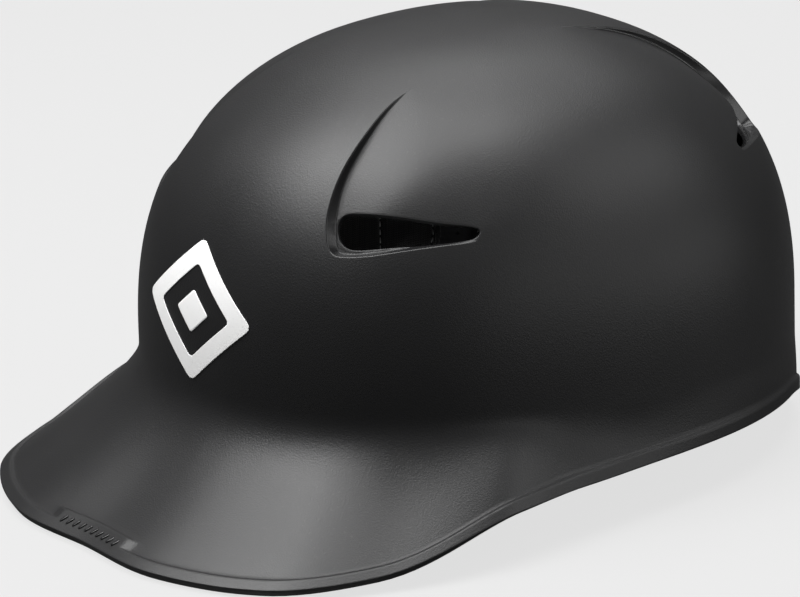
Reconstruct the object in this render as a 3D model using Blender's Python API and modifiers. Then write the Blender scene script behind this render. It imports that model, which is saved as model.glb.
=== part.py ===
"""Skull-cap style batting helmet: moulded shell with brim, vents, foam liner and fabric pads.

The brim points along -Y, the wearer's left is +X and +Z is up.
The helmet stands on its rim, with the centre of its footprint at the origin.
"""

import bpy
import bmesh
from collections import namedtuple
from functools import lru_cache
from math import atan2, cos, degrees, hypot, pi, radians, sin
from mathutils import Vector

# ---------------------------------------------------------------- driving dimensions (metres)
WALL = 0.0032                 # moulded shell thickness
GAP = 0.0003                  # clearance between touching pieces

DOME_HALF_WIDTH = 0.100
DOME_FRONT = 0.1205
DOME_REAR = 0.1206
DOME_CENTRE_Y = 0.0238       # puts the footprint, brim included, centrally over the origin
PLAN_POWER = 2.24             # 2 would be an ellipse in plan, more is squarer
CROWN_HEIGHT = 0.1549
WALL_TOP = 0.0482             # the dome starts here, and the wall below is upright
CROWN_SHIFT = 0.007           # the crown sits behind the middle of the plan
ROUND_FRONT = 2.63            # squareness of the dome's arc, seen from the side and the front
ROUND_REAR = 2.25
ROUND_SIDE = 2.49

# Values that change round the head, from 0 degrees at the brim to 180 at the nape.
RIM_REACH = ((0, 0.0483), (14, 0.0525), (28, 0.0516), (42, 0.0391), (56, 0.0240),
             (72, 0.0090), (90, 0.0040), (110, 0.0025), (180, 0.0015))
RIM_HEIGHT = ((0, 0.0), (21, 0.0), (40, 0.0028), (60, 0.0161), (80, 0.0173),
              (105, 0.0181), (135, 0.0173), (150, 0.0105), (168, 0.0), (180, 0.0))
RIM_SLOPE = ((0, 32), (40, 36), (60, 52), (80, 70), (110, 86), (150, 90), (180, 90))
FLARE_TOP = ((0, 0.0465), (45, 0.0455), (90, 0.0410), (135, 0.0360), (180, 0.0260))

BORDER_WIDTH = 0.0055         # raised strip all round the edge
BORDER_RISE = 0.0012
BORDER_STEP = 0.0010          # width of the little ramp up to the strip
TAB_WIDTH = 0.0100            # the strip widens to a tab at the front of the brim
TAB_HALF_LENGTH = 0.0194
TAB_RAMP = 0.0044

# A vent is drawn on a plane that faces its azimuth and elevation on the dome.
# Across runs from the vent's round end to its tip, up runs to the crown.
VENT_HOOK = ((-0.0028, 0.0413), (-0.0080, 0.0322), (-0.0126, 0.0205), (-0.0179, 0.0044),
             (-0.0203, -0.0103), (-0.0191, -0.0208), (-0.0167, -0.0243), (-0.0126, -0.0250),
             (-0.0033, -0.0238), (0.0106, -0.0200), (0.0211, -0.0167), (0.0295, -0.0136),
             (0.0312, -0.0111))
VENT_HOLE = ((-0.0171, -0.0140), (-0.0166, -0.0112), (-0.0145, -0.0094), (-0.0110, -0.0090),
             (0.0046, -0.0094), (0.0175, -0.0097), (0.0297, -0.0093), (0.0303, -0.0108),
             (0.0279, -0.0131), (0.0159, -0.0169), (0.0046, -0.0190), (-0.0030, -0.0203),
             (-0.0090, -0.0211), (-0.0128, -0.0207), (-0.0157, -0.0184))
VENT_DEPTH = 0.0040
VENT_FADE = 0.030             # the recess runs out this far from the hook
HOOK_SNAP = 0.0024            # mesh points this near the hook are moved onto it
CORNER_FROM_TIP = 8           # points of the hook from its full depth to its tip
LIP_FROM_TIP = 5              # and from where the recess starts to run out along the lip
RISE_POWER = 1.7              # the recess deepens fast below the crown end, then more slowly
VENT_FACING = 0.05            # skin less far out than this faces away from the vent
VENT_PATCH = ((-0.040, 0.040), (-0.034, 0.056))   # finer mesh round a vent, across and up
CUTTER_REACH = (0.080, 0.130)

Vent = namedtuple("Vent", "azimuth elevation way hook")
FRONT_VENT = Vent(37, 38, 1, VENT_HOOK)           # way is 1 where the tip points to the rear
REAR_VENT = Vent(150, 40, -1, ((0.0083, 0.0590), (0.0030, 0.0495)) + VENT_HOOK)

FOAM = 0.0110                 # firm liner
FOAM_CLEARANCE = 0.0018       # glue and the vent recesses lie between liner and shell
COMFORT = 0.0065              # wrapped pads
TAPE = 0.0010                 # hook-and-loop tape between liner and pads

HALF_COLUMNS = 34             # mesh columns on half of the shell
DOME_ROWS = 20                # mesh rows from the border to the crown
PATH_STEPS = 60


# ---------------------------------------------------------------- scene, collections, materials
def clear_scene():
    for item in list(bpy.data.objects):
        bpy.data.objects.remove(item, do_unlink=True)


def new_collection(name):
    collection = bpy.data.collections.new(name)
    bpy.context.scene.collection.children.link(collection)
    return collection


def material(name, colour, roughness, metallic=0.0):
    made = bpy.data.materials.new(name)
    made.use_nodes = True
    made.diffuse_color = (*colour, 1.0)
    shader = made.node_tree.nodes["Principled BSDF"]
    shader.inputs["Base Color"].default_value = (*colour, 1.0)
    shader.inputs["Roughness"].default_value = roughness
    shader.inputs["Metallic"].default_value = metallic
    return made


def add_object(name, bm, collection, surface=None):
    mesh = bpy.data.meshes.new(name)
    bm.to_mesh(mesh)
    bm.free()
    made = bpy.data.objects.new(name, mesh)
    collection.objects.link(made)
    if surface:
        mesh.materials.append(surface)
        mesh.shade_smooth()
        mesh.set_sharp_from_angle(angle=radians(35))
    return made


# ---------------------------------------------------------------- smooth values and curves
def smooth_value(table, angle):
    """A curve through (angle, value) pairs that never overshoots them."""
    angle = abs((angle + 180) % 360 - 180)
    spans = list(zip(table, table[1:]))
    rises = [(b[1] - a[1]) / (b[0] - a[0]) for a, b in spans]
    slopes = [0.0]
    for before, after in zip(rises, rises[1:]):
        same_way = before * after > 0
        slopes.append(2 * before * after / (before + after) if same_way else 0.0)
    slopes.append(0.0)
    for i, (a, b) in enumerate(spans):
        if angle <= b[0] or i == len(spans) - 1:
            width = b[0] - a[0]
            t = (angle - a[0]) / width
            return (a[1] * (1 + 2 * t) * (1 - t) ** 2 + b[1] * t * t * (3 - 2 * t)
                    + width * t * (1 - t) * (slopes[i] * (1 - t) - slopes[i + 1] * t))


def smooth_curve(points, steps, closed=False):
    """A smooth curve through 2-D points: each span leaves and arrives at its own length's pace."""
    points = [Vector(point) for point in points]
    count = len(points)
    pick = (lambda i: points[i % count]) if closed else (lambda i: points[min(max(i, 0), count - 1)])
    heading = [(pick(i + 1) - pick(i - 1)).normalized() for i in range(count)]
    curve = []
    for i in range(count if closed else count - 1):
        a, b = points[i], pick(i + 1)
        pace = (b - a).length
        for k in range(steps):
            t = k / steps
            bend = heading[i] * (1 - t) - heading[(i + 1) % count] * t
            curve.append(a * (1 + 2 * t) * (1 - t) ** 2 + b * t * t * (3 - 2 * t)
                         + bend * pace * t * (1 - t))
    if not closed:
        curve.append(points[-1])
    return curve


def ease(t):
    t = min(max(t, 0.0), 1.0)
    return t * t * (3 - 2 * t)


# ---------------------------------------------------------------- the outer skin
def plan_radius(angle):
    """Distance from the dome's axis to its upright wall."""
    length = DOME_FRONT if cos(radians(angle)) > 0 else DOME_REAR
    across = abs(sin(radians(angle))) / DOME_HALF_WIDTH
    along = abs(cos(radians(angle))) / length
    return (across ** PLAN_POWER + along ** PLAN_POWER) ** (-1 / PLAN_POWER)


def out_from_axis(angle, radius, height, shift=0.0):
    turn = radians(angle)
    return Vector((radius * sin(turn), DOME_CENTRE_Y + shift - radius * cos(turn), height))


def border_width(angle):
    """The strip's width, which grows into the tab at the front."""
    across = abs(sin(radians(angle))) * (DOME_FRONT + RIM_REACH[0][1])
    is_front = cos(radians(angle)) > 0
    tab = 1 - ease((across - TAB_HALF_LENGTH) / TAB_RAMP) if is_front else 0.0
    return BORDER_WIDTH + (TAB_WIDTH - BORDER_WIDTH) * tab


def border_section(angle):
    """Rim edge, strip top and strip toe as (radius, height) pairs, from outside in."""
    slope = radians(smooth_value(RIM_SLOPE, angle))
    down = Vector((cos(slope), -sin(slope)))
    out = Vector((sin(slope), cos(slope)))
    edge = Vector((plan_radius(angle) + smooth_value(RIM_REACH, angle),
                   smooth_value(RIM_HEIGHT, angle) + WALL * cos(slope)))
    top = edge - down * (border_width(angle) - BORDER_STEP)
    toe = edge - down * border_width(angle) - out * BORDER_RISE
    return edge, top, toe, down


def flare_section(angle, steps):
    """The hollow curve from the upright wall out to the border's toe."""
    edge, top, toe, down = border_section(angle)
    start = Vector((plan_radius(angle), smooth_value(FLARE_TOP, angle)))
    reach = (toe - start).length
    bend_1 = start + Vector((0, -1)) * reach * 0.20
    bend_2 = toe - down * reach * 0.50
    path = []
    for i in range(steps + 1):
        t = i / steps
        path.append(start * (1 - t) ** 3 + bend_1 * 3 * t * (1 - t) ** 2
                    + bend_2 * 3 * t * t * (1 - t) + toe * t ** 3)
    return path


@lru_cache(maxsize=None)
def skin_path(angle):
    """Points down the outer skin from the crown to the border's toe."""
    turn = radians(angle)
    end_round = ROUND_FRONT if cos(turn) > 0 else ROUND_REAR
    power = end_round * cos(turn) ** 2 + ROUND_SIDE * sin(turn) ** 2
    path = []
    for i in range(PATH_STEPS + 1):
        lift = pi / 2 * (1 - i / PATH_STEPS)
        share_out = max(cos(lift), 0.0) ** (2 / power)
        share_up = max(sin(lift), 0.0) ** (2 / power)
        height = WALL_TOP + (CROWN_HEIGHT - WALL_TOP) * share_up
        path.append(out_from_axis(angle, plan_radius(angle) * share_out, height,
                                  CROWN_SHIFT * share_up ** 2))
    for radius, height in flare_section(angle, PATH_STEPS // 2):
        if height < WALL_TOP:
            path.append(out_from_axis(angle, radius, height))
    return path


def even_points(path, count):
    """The path again, as count + 1 evenly spaced points."""
    lengths = [0.0]
    for a, b in zip(path, path[1:]):
        lengths.append(lengths[-1] + (b - a).length)
    points = []
    j = 0
    for i in range(count + 1):
        target = lengths[-1] * i / count
        while j < len(path) - 2 and lengths[j + 1] < target:
            j += 1
        t = (target - lengths[j]) / (lengths[j + 1] - lengths[j])
        points.append(path[j].lerp(path[j + 1], t))
    return points


def skin_point(angle, place):
    """Point and outward normal at a (possibly fractional) place on a skin path."""
    path = skin_path(angle)
    i = min(max(int(place), 1), len(path) - 3)
    t = place - i
    point = path[i].lerp(path[i + 1], t)
    down = path[i + 1] - path[i]
    left, right = skin_path(angle - 1), skin_path(angle + 1)
    round_head = right[i].lerp(right[i + 1], t) - left[i].lerp(left[i + 1], t)
    return point, down.cross(round_head).normalized()


def place_where(angle, test):
    """The first place down the path where test(point) turns positive."""
    path = skin_path(angle)
    for i in range(1, len(path) - 1):
        before, after = test(path[i - 1]), test(path[i])
        if after >= 0:
            return i - 1 + before / (before - after) if before < 0 else i
    return len(path) - 2


def skin_at_height(angle, height):
    return skin_point(angle, place_where(angle, lambda p: height - p.z))


def skin_above(x, y):
    """Point and normal on the dome over a place in plan, measured from the crown."""
    angle = degrees(atan2(x, -y))
    crown_y = DOME_CENTRE_Y + CROWN_SHIFT
    radius = hypot(x, y)
    return skin_point(angle, place_where(angle, lambda p: hypot(p.x, p.y - crown_y) - radius))


# ---------------------------------------------------------------- vents
def vent_axes(vent):
    """Outward direction of a left-hand vent, and its across and up directions."""
    a, e = radians(vent.azimuth), radians(vent.elevation)
    outward = Vector((sin(a) * cos(e), -cos(a) * cos(e), sin(e)))
    across = Vector((cos(a), sin(a), 0)) * vent.way
    up = Vector((-sin(a) * sin(e), cos(a) * sin(e), cos(e)))
    return outward, across, up


DOME_CENTRE = Vector((0, DOME_CENTRE_Y, WALL_TOP))


def on_vent_plane(point, vent):
    outward, across, up = vent_axes(vent)
    arm = Vector((abs(point.x), point.y, point.z)) - DOME_CENTRE
    return Vector((arm.dot(across), arm.dot(up))), arm.dot(outward)


HOOK_STEPS = 4


def nearest_on_hook(flat, hook):
    """Distance to the hook curve, its nearest point, how many points along, and the side."""
    best = None
    for i, (a, b) in enumerate(zip(hook, hook[1:])):
        along = b - a
        t = min(max((flat - a).dot(along) / along.length_squared, 0.0), 1.0)
        near = a + along * t
        distance = (flat - near).length
        if best is None or distance < best[0]:
            side = along.x * (flat.y - a.y) - along.y * (flat.x - a.x)
            best = (distance, near, (i + t) / HOOK_STEPS, side)
    return best


def recess(point, vent, hook):
    """How deep the vent's panel lies under the dome at a point, and its move onto the hook."""
    flat, facing = on_vent_plane(point, vent)
    tip = len(vent.hook) - 1
    corner, lip = tip - CORNER_FROM_TIP, tip - LIP_FROM_TIP
    distance, near, place, side = nearest_on_hook(flat, hook)
    if facing < VENT_FACING or place in (0.0, tip):
        return 0.0, None
    if distance < HOOK_SNAP:
        return 0.0, near - flat
    if side < 0:
        return 0.0, None
    rise = 1 - max(1 - place / corner, 0) ** RISE_POWER
    fall = 1 - ease((place - lip) / LIP_FROM_TIP)
    return VENT_DEPTH * rise * fall * (1 - ease(distance / VENT_FADE)), None


def in_vent_patch(point, vent):
    flat, facing = on_vent_plane(point, vent)
    across, up = VENT_PATCH
    return facing > VENT_FACING and across[0] < flat.x < across[1] and up[0] < flat.y < up[1]


def press_in_vents(bm):
    """Finer mesh near each vent, then the hooked recess pressed into it."""
    for vent in (FRONT_VENT, REAR_VENT):
        hook = smooth_curve(vent.hook, HOOK_STEPS)
        near = [face for face in bm.faces if in_vent_patch(face.calc_center_median(), vent)]
        edges = list({edge for face in near for edge in face.edges})
        bmesh.ops.subdivide_edges(bm, edges=edges, cuts=1, use_grid_fill=True)
        outward, across, up = vent_axes(vent)
        for vert in bm.verts:
            depth, slide = recess(vert.co, vent, hook)
            if slide:
                vert.co += across * slide.x + up * slide.y
            else:
                vert.co -= outward * depth


def vent_cutter(name, vent, side, cutters):
    """A prism through the wall with the vent opening's outline."""
    outward, across, up = vent_axes(vent)
    bm = bmesh.new()
    ring = []
    for flat in smooth_curve(VENT_HOLE, 2, closed=True):
        low = DOME_CENTRE + across * flat.x + up * flat.y + outward * CUTTER_REACH[0]
        ring.append(bm.verts.new((low.x * side, low.y, low.z)))
    bottom = bm.faces.new(ring)
    pushed = bmesh.ops.extrude_face_region(bm, geom=[bottom])
    lift = Vector((outward.x * side, outward.y, outward.z)) * (CUTTER_REACH[1] - CUTTER_REACH[0])
    moved = [item for item in pushed["geom"] if isinstance(item, bmesh.types.BMVert)]
    bmesh.ops.translate(bm, verts=moved, vec=lift)
    bmesh.ops.recalc_face_normals(bm, faces=bm.faces)
    cutter = add_object(name, bm, cutters)
    cutter.hide_render = True
    cutter.display_type = "WIRE"
    return cutter


# ---------------------------------------------------------------- the shell
def column_angles():
    """Even columns round half the head, with extra ones at the ends of the brim's tab."""
    reach = DOME_FRONT + RIM_REACH[0][1]
    tab = [degrees(TAB_HALF_LENGTH / reach), degrees((TAB_HALF_LENGTH + TAB_RAMP) / reach)]
    rest = HALF_COLUMNS - 3
    even = [tab[1] + (180 - tab[1]) * i / rest for i in range(1, rest + 1)]
    return [0.0, tab[0] / 2, tab[0], tab[1], *even]


def shell_columns():
    columns = []
    for angle in column_angles():
        edge, top, toe, down = border_section(angle)
        strip = [out_from_axis(angle, *pair) for pair in (edge, top)]
        dome = even_points(skin_path(angle), DOME_ROWS)
        columns.append(strip + dome[::-1])
    return columns


def make_shell(parts, cutters, surface):
    columns = shell_columns()
    last_row = len(columns[0]) - 1
    bm = bmesh.new()
    bmesh.ops.create_grid(bm, x_segments=HALF_COLUMNS, y_segments=last_row, size=0.5)
    for vert in bm.verts:
        column = round((vert.co.x + 0.5) * HALF_COLUMNS)
        row = round((vert.co.y + 0.5) * last_row)
        vert.co = columns[column][row]
        if column in (0, HALF_COLUMNS):
            vert.co.x = 0.0
    bmesh.ops.remove_doubles(bm, verts=bm.verts, dist=0.00001)
    press_in_vents(bm)
    shell = add_object("shell", bm, parts, surface)
    mirror = shell.modifiers.new("two_sides", "MIRROR")
    mirror.merge_threshold = 0.00005
    wall = shell.modifiers.new("wall", "SOLIDIFY")
    wall.thickness = WALL
    wall.offset = -1
    for vent, place in ((FRONT_VENT, "front"), (REAR_VENT, "rear")):
        for side, hand in ((1, "left"), (-1, "right")):
            cut = shell.modifiers.new(f"{place}_{hand}_vent", "BOOLEAN")
            cut.object = vent_cutter(f"{place}_{hand}_vent_cutter", vent, side, cutters)
            cut.operation = "DIFFERENCE"
            cut.solver = "EXACT"
    return shell


# ---------------------------------------------------------------- pieces laid on the skin
def laid_sheet(name, parts, surface, across, along, on_skin, depth, thickness, bevel=0.0):
    """A grid whose points on_skin(u, v) places, sunk by depth and given a thickness inwards."""
    bm = bmesh.new()
    bmesh.ops.create_grid(bm, x_segments=across, y_segments=along, size=0.5)
    for vert in bm.verts:
        point, normal = on_skin(vert.co.x + 0.5, vert.co.y + 0.5)
        vert.co = point - normal * depth
    bmesh.ops.remove_doubles(bm, verts=bm.verts, dist=0.00001)
    made = add_object(name, bm, parts, surface)
    solid = made.modifiers.new("thickness", "SOLIDIFY")
    solid.thickness = thickness
    solid.offset = -1
    if bevel:
        soft = made.modifiers.new("rounded", "BEVEL")
        soft.width = bevel
        soft.segments = 2
        soft.limit_method = "ANGLE"
        soft.angle_limit = radians(50)
    return made


def band(start, end, top, bottom):
    """A skin patch between two azimuths and two heights."""
    return lambda u, v: skin_at_height(start + (end - start) * u, bottom + (top - bottom) * v)


def spine(half_width, front, rear):
    """A strip over the crown, front to back, laid out by its lean from upright."""
    def on_skin(u, v):
        lean = radians(-front + (front + rear) * v)
        return skin_above((2 * u - 1) * half_width, DOME_FRONT * 0.9 * sin(lean))
    return on_skin


LINER_DEPTH = WALL + FOAM_CLEARANCE
PAD_DEPTH = LINER_DEPTH + FOAM + TAPE


def make_liner(parts, surface):
    panels = {
        "front_liner": (9, 4, band(-38, 38, 0.093, 0.052)),
        "left_liner": (10, 6, band(43, 127, 0.093, 0.030)),
        "right_liner": (10, 6, band(-127, -43, 0.093, 0.030)),
        "rear_left_liner": (6, 7, band(132, 178, 0.096, 0.020)),
        "rear_right_liner": (6, 7, band(-178, -132, 0.096, 0.020)),
        "left_crown_liner": (8, 4, band(66, 122, 0.141, 0.104)),
        "right_crown_liner": (8, 4, band(-122, -66, 0.141, 0.104)),
        "crown_spine_liner": (4, 14, spine(0.019, 60, 62)),
    }
    for name, (across, along, on_skin) in panels.items():
        laid_sheet(name, parts, surface, across, along, on_skin, LINER_DEPTH, FOAM)


def make_pads(parts, surface):
    pads = {
        "forehead_pad": (9, 3, band(-33, 33, 0.088, 0.056)),
        "left_side_pad": (8, 4, band(52, 118, 0.084, 0.040)),
        "right_side_pad": (8, 4, band(-118, -52, 0.084, 0.040)),
        "nape_pad": (8, 4, band(148, 212, 0.070, 0.026)),
        "crown_pad": (4, 6, spine(0.017, 22, 22)),
    }
    for name, (across, along, on_skin) in pads.items():
        laid_sheet(name, parts, surface, across, along, on_skin, PAD_DEPTH, COMFORT, bevel=0.002)


# ---------------------------------------------------------------- front emblem
EMBLEM_WIDTH = 0.060
EMBLEM_HEIGHT = 0.050
EMBLEM_CENTRE = (0.0, 0.0740)
EMBLEM_FILM = 0.0003
EMBLEM_BAND = 0.66            # the ring's inner size as a share of its outer size
EMBLEM_HEART = 0.30           # the small diamond in the middle


def on_front(x, z):
    """Point and normal on the front of the dome at a sideways place and a height."""
    def off_side(angle):
        return skin_at_height(angle, z)[0].x - x
    low, high = -60.0, 60.0
    for _ in range(24):
        middle = (low + high) / 2
        if off_side(middle) > 0:
            high = middle
        else:
            low = middle
    return skin_at_height(round((low + high) / 2, 3), z)


def diamond_ring(u, v):
    """A rhombus outline: u runs once round it, v from its inner to its outer edge."""
    size = EMBLEM_BAND + (1 - EMBLEM_BAND) * v
    corner, t = divmod((u * 4) % 4, 1)
    corners = ((1, 0), (0, 1), (-1, 0), (0, -1), (1, 0))
    flat = Vector(corners[int(corner)]).lerp(Vector(corners[int(corner) + 1]), t) * size
    return on_front(EMBLEM_CENTRE[0] + flat.x * EMBLEM_WIDTH / 2,
                    EMBLEM_CENTRE[1] + flat.y * EMBLEM_HEIGHT / 2)


def diamond_heart(u, v):
    """A filled rhombus in the middle of the ring."""
    return on_front(EMBLEM_CENTRE[0] + (u - v) * EMBLEM_HEART * EMBLEM_WIDTH / 2,
                    EMBLEM_CENTRE[1] + (u + v - 1) * EMBLEM_HEART * EMBLEM_HEIGHT / 2)


def make_emblem(parts, surface):
    shapes = {
        "emblem_ring": (24, 1, diamond_ring),
        "emblem_heart": (3, 3, diamond_heart),
    }
    for name, (across, along, on_skin) in shapes.items():
        laid_sheet(name, parts, surface, across, along, on_skin, -GAP - EMBLEM_FILM, EMBLEM_FILM)


def main():
    clear_scene()
    parts = new_collection("batting_helmet")
    cutters = new_collection("cutters")
    make_shell(parts, cutters, material("black_abs", (0.018, 0.018, 0.019), 0.48))
    make_liner(parts, material("liner_foam", (0.030, 0.030, 0.032), 0.92))
    make_pads(parts, material("pad_fabric", (0.012, 0.012, 0.013), 0.95))
    make_emblem(parts, material("white_vinyl", (0.86, 0.86, 0.86), 0.42))


main()
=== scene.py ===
# %% [markdown]
# # A batting helmet, built step by step
# The helmet is a skull-cap style batting helmet: a moulded black shell with a brim, two
# hooked vents on each side, a white front emblem, a firm foam liner and soft cloth pads.
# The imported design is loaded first. It is the fixed frame: every piece made here lies
# where the design says, so the first thing kept is the design's overall box.

# %% Load the frame
from functools import lru_cache
from math import atan2, cos, degrees, hypot, pi, radians, sin

import bmesh
import bpy
import numpy as np
from mathutils import Matrix, Vector
from mathutils.bvhtree import BVHTree
from mathutils.geometry import delaunay_2d_cdt


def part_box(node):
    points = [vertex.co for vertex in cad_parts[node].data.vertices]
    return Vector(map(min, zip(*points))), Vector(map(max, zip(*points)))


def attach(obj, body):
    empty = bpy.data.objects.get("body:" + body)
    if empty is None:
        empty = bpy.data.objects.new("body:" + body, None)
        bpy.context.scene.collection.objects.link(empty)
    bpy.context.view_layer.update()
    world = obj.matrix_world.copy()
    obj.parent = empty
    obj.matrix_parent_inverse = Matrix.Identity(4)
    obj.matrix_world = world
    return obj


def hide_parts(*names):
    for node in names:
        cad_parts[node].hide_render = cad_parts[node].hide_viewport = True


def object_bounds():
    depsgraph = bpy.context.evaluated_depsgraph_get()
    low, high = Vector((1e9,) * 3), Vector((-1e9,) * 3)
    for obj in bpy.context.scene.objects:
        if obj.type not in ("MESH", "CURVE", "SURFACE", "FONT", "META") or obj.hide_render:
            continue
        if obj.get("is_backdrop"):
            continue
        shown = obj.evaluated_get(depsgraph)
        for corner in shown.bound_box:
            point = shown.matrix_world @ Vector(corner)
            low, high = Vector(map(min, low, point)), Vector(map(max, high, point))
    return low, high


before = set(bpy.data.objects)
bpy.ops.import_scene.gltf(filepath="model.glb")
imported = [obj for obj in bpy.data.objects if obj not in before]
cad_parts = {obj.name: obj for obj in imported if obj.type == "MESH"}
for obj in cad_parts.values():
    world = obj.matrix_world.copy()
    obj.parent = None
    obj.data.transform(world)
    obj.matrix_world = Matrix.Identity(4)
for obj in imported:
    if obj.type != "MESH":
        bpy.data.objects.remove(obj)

DESIGN_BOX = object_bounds()
SHELL_LOW, SHELL_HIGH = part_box("shell")
MM = 0.001
print("design box in mm:", [[round(c / MM, 1) for c in corner] for corner in DESIGN_BOX])

# %% [markdown]
# ## The studio
# A matte black object shows its form only by what it mirrors, so the studio is mostly dark,
# with soft boxes all round. The ones ahead and at the front right draw the broad highlights
# on the forehead and the brim, those overhead run along the crown, and a low card at the
# rear keeps the side wall from going flat. A weak card below shows the inside. The backdrop
# is pale where it is seen directly, but dim as a light source: otherwise the plastic would
# look grey all over. The camera stands off the wearer's left front, with a long lens.

# %% Objects and meshes
def link_piece(name, data):
    """A new object in the scene that carries the data."""
    made = bpy.data.objects.new(name, data)
    bpy.context.scene.collection.objects.link(made)
    return made


def mesh_from(name, bm):
    """The mesh of a bmesh, which is used up."""
    mesh = bpy.data.meshes.new(name)
    bm.to_mesh(mesh)
    bm.free()
    return mesh


# %% Camera
CAMERA_AZIMUTH = radians(52.67)
CAMERA_RISE = radians(17.53)
CAMERA_ROLL = radians(-1.53)
CAMERA_AWAY = 1.7973
CAMERA_TARGET = Vector((0, 0.0238, 0.0721))
CAMERA_LENS = 227.3
CAMERA_SHIFT = (-0.0843, -0.0660)


def direction(azimuth, rise):
    """Unit vector: azimuth 0 is straight ahead of the brim, 90 is the wearer's left."""
    return Vector((sin(azimuth) * cos(rise), -cos(azimuth) * cos(rise), sin(rise)))


def add_camera():
    back = direction(CAMERA_AZIMUTH, CAMERA_RISE)
    level = Vector((cos(CAMERA_AZIMUTH), sin(CAMERA_AZIMUTH), 0))
    upright = back.cross(level)
    right = level * cos(CAMERA_ROLL) + upright * sin(CAMERA_ROLL)
    up = upright * cos(CAMERA_ROLL) - level * sin(CAMERA_ROLL)
    lens = bpy.data.cameras.new("camera")
    lens.lens = CAMERA_LENS
    lens.sensor_width = 36
    lens.shift_x, lens.shift_y = CAMERA_SHIFT
    lens.clip_start = 0.05
    camera = link_piece("camera", lens)
    turn = Matrix((right, up, back)).transposed().to_4x4()
    camera.matrix_world = Matrix.Translation(CAMERA_TARGET + back * CAMERA_AWAY) @ turn
    bpy.context.scene.camera = camera
    print("camera at", [round(c, 3) for c in camera.location])


add_camera()
bpy.context.scene.view_settings.view_transform = "Standard"

# %% Lamps
LAMPS = {
    # name: (azimuth, rise, distance, width, height, brightness)
    "front_lamp": (-4, 57, 1.35, 0.70, 0.60, 10.2),
    "forehead_lamp": (-40, 55, 1.35, 0.70, 0.60, 7.6),
    "temple_lamp": (-45, 76, 1.35, 0.70, 0.60, 8.8),
    "far_side_lamp": (-120, 55, 1.35, 0.70, 0.60, 3.4),
    "far_rear_lamp": (-160, 55, 1.35, 0.70, 0.60, 1.9),
    "crown_lamp": (135, 76, 1.35, 0.70, 0.60, 8.9),
    "rear_lamp": (135, 32, 1.35, 0.70, 0.60, 3.3),
    "rear_low_card": (135, -1, 1.35, 0.70, 0.09, 8.5),
    "side_card": (100, 6, 1.35, 0.90, 0.50, 1.5),
    "under_card": (-20, -75, 0.85, 0.50, 0.50, 2.8),
}


def add_lamp(name, azimuth, rise, distance, width, height, brightness):
    """A soft box whose face has the given brightness, whatever its size."""
    toward = direction(radians(azimuth), radians(rise))
    lamp = bpy.data.lights.new(name, "AREA")
    lamp.shape = "RECTANGLE"
    lamp.size, lamp.size_y = width, height
    lamp.energy = brightness * pi * width * height
    made = link_piece(name, lamp)
    made.location = CAMERA_TARGET + toward * distance
    made.rotation_euler = toward.to_track_quat("Z", "Y").to_euler()


for lamp_name, lamp_values in LAMPS.items():
    add_lamp(lamp_name, *lamp_values)
print("lamps:", ", ".join(LAMPS))

# %% [markdown]
# ## Small helpers for node trees
# Shader trees and geometry trees are both nodes and links, so one helper serves both. It
# adds a node, sets its options, and either sets or links each named input. Sums, blends,
# noise and bump are so common that each has a helper of its own.

# %% Node helpers
def connect(tree, value, socket):
    if isinstance(value, bpy.types.NodeSocket):
        tree.links.new(value, socket)
    else:
        socket.default_value = value


def wire(tree, node, **inputs):
    """Sets or links a node's inputs, each given by name with _ for a space."""
    for name, value in inputs.items():
        connect(tree, value, node.inputs[name.replace("_", " ")])


def put(tree, kind, options=None, **inputs):
    """A new node with its options set and its inputs wired."""
    made = tree.nodes.new(kind)
    for option, value in (options or {}).items():
        setattr(made, option, value)
    wire(tree, made, **inputs)
    return made


def maths(tree, operation, *values, clamp=False):
    made = tree.nodes.new("ShaderNodeMath")
    made.operation = operation
    made.use_clamp = clamp
    for socket, value in zip(made.inputs, values):
        connect(tree, value, socket)
    return made.outputs[0]


def blend_colours(tree, share, first, second):
    made = tree.nodes.new("ShaderNodeMix")
    made.data_type = "RGBA"
    connect(tree, share, made.inputs[0])
    connect(tree, first, made.inputs[6])
    connect(tree, second, made.inputs[7])
    return made.outputs[2]


def noise(tree, place, scale, detail):
    return put(tree, "ShaderNodeTexNoise", Vector=place, Scale=scale, Detail=detail).outputs[0]


def remap(tree, value, **limits):
    return put(tree, "ShaderNodeMapRange", Value=value, **limits).outputs[0]


def bumped(tree, height, strength, depth):
    return put(tree, "ShaderNodeBump", Strength=strength, Distance=depth, Height=height).outputs[0]


def new_tree(name, kind, inputs, outputs):
    """A group's tree, the sockets it is given, and its output node."""
    tree = bpy.data.node_groups.new(name, kind)
    for label, (socket_type, default) in inputs.items():
        socket = tree.interface.new_socket(label, in_out="INPUT", socket_type=socket_type)
        if default is not None:
            socket.default_value = default
    for label, socket_type in outputs.items():
        tree.interface.new_socket(label, in_out="OUTPUT", socket_type=socket_type)
    return tree, tree.nodes.new("NodeGroupInput").outputs, tree.nodes.new("NodeGroupOutput")


def new_group(name, numbers, outputs):
    """A shader group that takes a place called Vector and numbers as {name: default}."""
    inputs = {"Vector": ("NodeSocketVector", None)}
    inputs.update({label: ("NodeSocketFloat", default) for label, default in numbers.items()})
    return new_tree(name, "ShaderNodeTree", inputs, dict.fromkeys(outputs, "NodeSocketFloat"))


def use_group(tree, group, **inputs):
    return put(tree, "ShaderNodeGroup", {"node_tree": group}, **inputs).outputs


def new_material(name, **constants):
    """A material, its tree and its Principled shader with fixed values set on it."""
    made = bpy.data.materials.new(name)
    made.use_nodes = True
    shader = made.node_tree.nodes["Principled BSDF"]
    wire(made.node_tree, shader, **constants)
    return made, made.node_tree, shader


# %% Backdrop and floor
SEEN_GREY = 0.83
DIM_SHARE = 0.16
FLOOR_HALF = 6.0
FLOOR_DROP = 0.2 * MM
FLOOR_GREY = 0.05
FLOOR_GLOW = 0.72


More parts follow.
